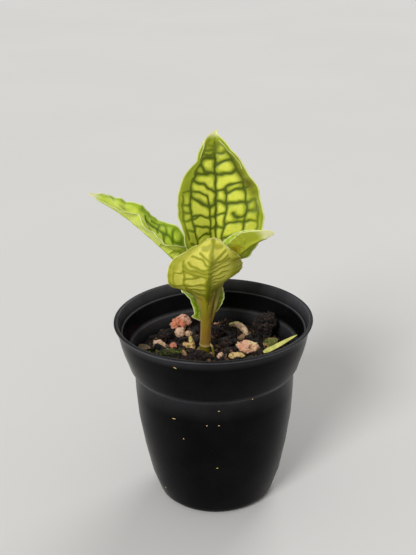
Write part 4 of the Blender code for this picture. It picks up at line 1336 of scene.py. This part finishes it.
def build_stem():
    mat = stem_material()
    bm = bmesh.new()
    points = np.array(STEM)
    tube(bm, points[:, :3], points[:, 3], rows=120, sides=40)
    corners = np.array([vert.co for vert in bm.verts])
    aside = (corners[:, 0] - np.interp(corners[:, 2], points[:, 2], points[:, 0])) / STEM_RADIUS
    mesh = to_mesh("stem", bm)
    attribute(mesh, "flank", smooth_step(0.6, 0.95, abs(aside)))
    add_piece("stem_rod", mesh, mat, "stem", "stem")
    bm = bmesh.new()
    tube(bm, ROOT, (0.5, 0.5, 0.45, 0.3), rows=30, sides=14)
    mesh = to_mesh("root", bm)
    attribute(mesh, "flank", np.ones(len(mesh.vertices)))
    add_piece("stem_root", mesh, mat, "stem")


def dry_material(name, pale, dark):
    mat, tree, shader = new_material(name)
    big, _, finish = grained(tree, 300.0, 0.55, (0.5, 0.75))
    colour = ramp(tree, big, ((0.35, dark), (0.6, pale)))
    connect(tree, shader, colour, finish, big, 0.0003, 0.5)
    return mat


def strip(name, line, width, mat, node_name):
    """A thin dry leaf strip along a line, tapering to its tips and curled across."""
    bm = thin_slab(60, 10)
    for vert in bm.verts:
        place = vert.co.x + 0.5
        here, later = curve(line, np.array([place - 0.02, place + 0.02]))
        along = Vector(later - here).normalized()
        across = Vector(STRIP_SLANT)
        across = (across - along * across.dot(along)).normalized()
        up = across.cross(along)
        wide = width * min(1.0, 5 * place + 0.4) * (1.0 - place ** 2.4) ** 0.8 + 0.1
        crease = 0.5 * abs(vert.co.y * 2) ** 1.5 * wide * 0.3
        thick = STRIP_THICKNESS * (vert.co.z + 0.5)
        middle = Vector(curve(line, np.array([place]))[0])
        vert.co = middle + across * (vert.co.y * wide) + up * (thick - crease)
    return add_piece(name, to_mesh(name, bm), mat, "dry_leaf", node_name)


def root_material():
    """Dead root: pinkish tan on the inside of its bend, yellow-green along the outside."""
    mat, tree, shader = new_material("dead root")
    big, _, finish = grained(tree, 500.0, 0.55, (0.55, 0.8))
    colour = ramp(tree, big, ((0.35, (0.2, 0.13, 0.07)), (0.5, (0.6, 0.4, 0.24)), (0.65, (0.76, 0.55, 0.36))))
    colour = blend(tree, read(tree, "outside"), colour, (0.62, 0.62, 0.14))
    connect(tree, shader, colour, finish, big, 0.0004, 0.7)
    return mat


def build_dry_bits():
    yellow = dry_material("dry yellow leaf", (0.78, 0.74, 0.2), (0.45, 0.46, 0.1))
    brown = dry_material("dry brown leaf", (0.3, 0.21, 0.12), (0.1, 0.06, 0.035))
    strip("strip_right", STRIP_RIGHT, 2.3, yellow, "dry_strip_right")
    strip("strip_left", STRIP_LEFT, 3.2, brown, "dry_strip_left")
    bm = bmesh.new()
    tube(bm, ROOT_PIECE, (0.9, 1.5, 1.5, 1.1), rows=60, sides=28)
    far = []
    for vert in bm.verts:
        far.append(math.hypot(vert.co.x - ROOT_BEND[0], vert.co.y - ROOT_BEND[1]))
        vert.co.z += 0.35 * noise.noise(vert.co * 0.8)
        vert.co.x += 0.3 * noise.noise(vert.co * 0.9 + Vector((9, 0, 0)))
    mesh = to_mesh("root_piece", bm)
    attribute(mesh, "outside", smooth_step(*ROOT_OUTSIDE, np.array(far)))
    add_piece("root_bit", mesh, root_material(), "pumice_tan", "root_piece")


def build_studio():
    """A pale floor, a pale sky and wide soft lights."""
    bm = bmesh.new()
    bmesh.ops.create_grid(bm, x_segments=1, y_segments=1, size=FLOOR_REACH)
    mesh = new_mesh("floor", bm)
    mat, tree, shader = new_material("pale floor", 0.1)
    tone = remap(tree, grain(tree, place_in(tree), 3.0), 0.3, 0.7)
    connect(tree, shader, blend(tree, tone, *FLOOR_TONES))
    shader.inputs["Roughness"].default_value = 0.9
    mesh.materials.append(mat)
    place_object("floor", mesh)
    world = bpy.data.worlds.new("studio")
    world.use_nodes = True
    sky = world.node_tree.nodes["Background"].inputs
    sky["Color"].default_value = SKY_COLOUR
    sky["Strength"].default_value = SKY_STRENGTH
    bpy.context.scene.world = world
    for name, source, spread, power in SUNS:
        data = bpy.data.lights.new(name, "SUN")
        data.energy = power
        data.angle = math.radians(spread)
        lamp = place_object(name, data)
        lamp.location = source
        lamp.rotation_euler = Vector(source).to_track_quat("Z", "Y").to_euler()


def build_camera():
    """Looks at the rim's centre, then turns so that the rim shows where the photograph has it."""
    elevation = math.radians(CAMERA_ELEVATION)
    back = Vector((0, -math.cos(elevation), math.sin(elevation)))
    above = Vector((0, math.sin(elevation), math.cos(elevation)))
    basis = Matrix((Vector((1, 0, 0)), above, back)).transposed()
    tilt = math.atan((RIM_PIXEL[1] - PHOTO_HEIGHT / 2) / FOCAL_PIXELS)
    basis = Matrix.Rotation(tilt, 3, basis.col[0]) @ basis
    pan = math.atan((RIM_PIXEL[0] - PHOTO_WIDTH / 2) / FOCAL_PIXELS)
    basis = Matrix.Rotation(pan, 3, basis.col[1]) @ basis
    basis = Matrix.Rotation(math.radians(CAMERA_ROLL), 3, -basis.col[2]) @ basis
    data = bpy.data.cameras.new("camera")
    data.sensor_width = SENSOR
    data.lens = FOCAL_PIXELS * SENSOR / PHOTO_HEIGHT
    data.clip_start = 0.01
    data.clip_end = 50.0
    camera = place_object("camera", data)
    camera.matrix_world = Matrix.LocRotScale(
        (Vector((0, 0, RIM)) + back * CAMERA_DISTANCE) * MM, basis.to_quaternion(), None)
    bpy.context.scene.camera = camera
    bpy.context.scene.view_settings.view_transform = "Standard"


build_camera()
build_studio()
build_pot()
dark_mix = mix_material("dark damp mix", (
    (0.005, 0.004, 0.004), (0.016, 0.011, 0.008), (0.034, 0.021, 0.014), (0.08, 0.045, 0.028)))
build_mix(dark_mix)
build_loose_pieces(dark_mix)
build_dry_bits()
build_stem()
build_leaves()
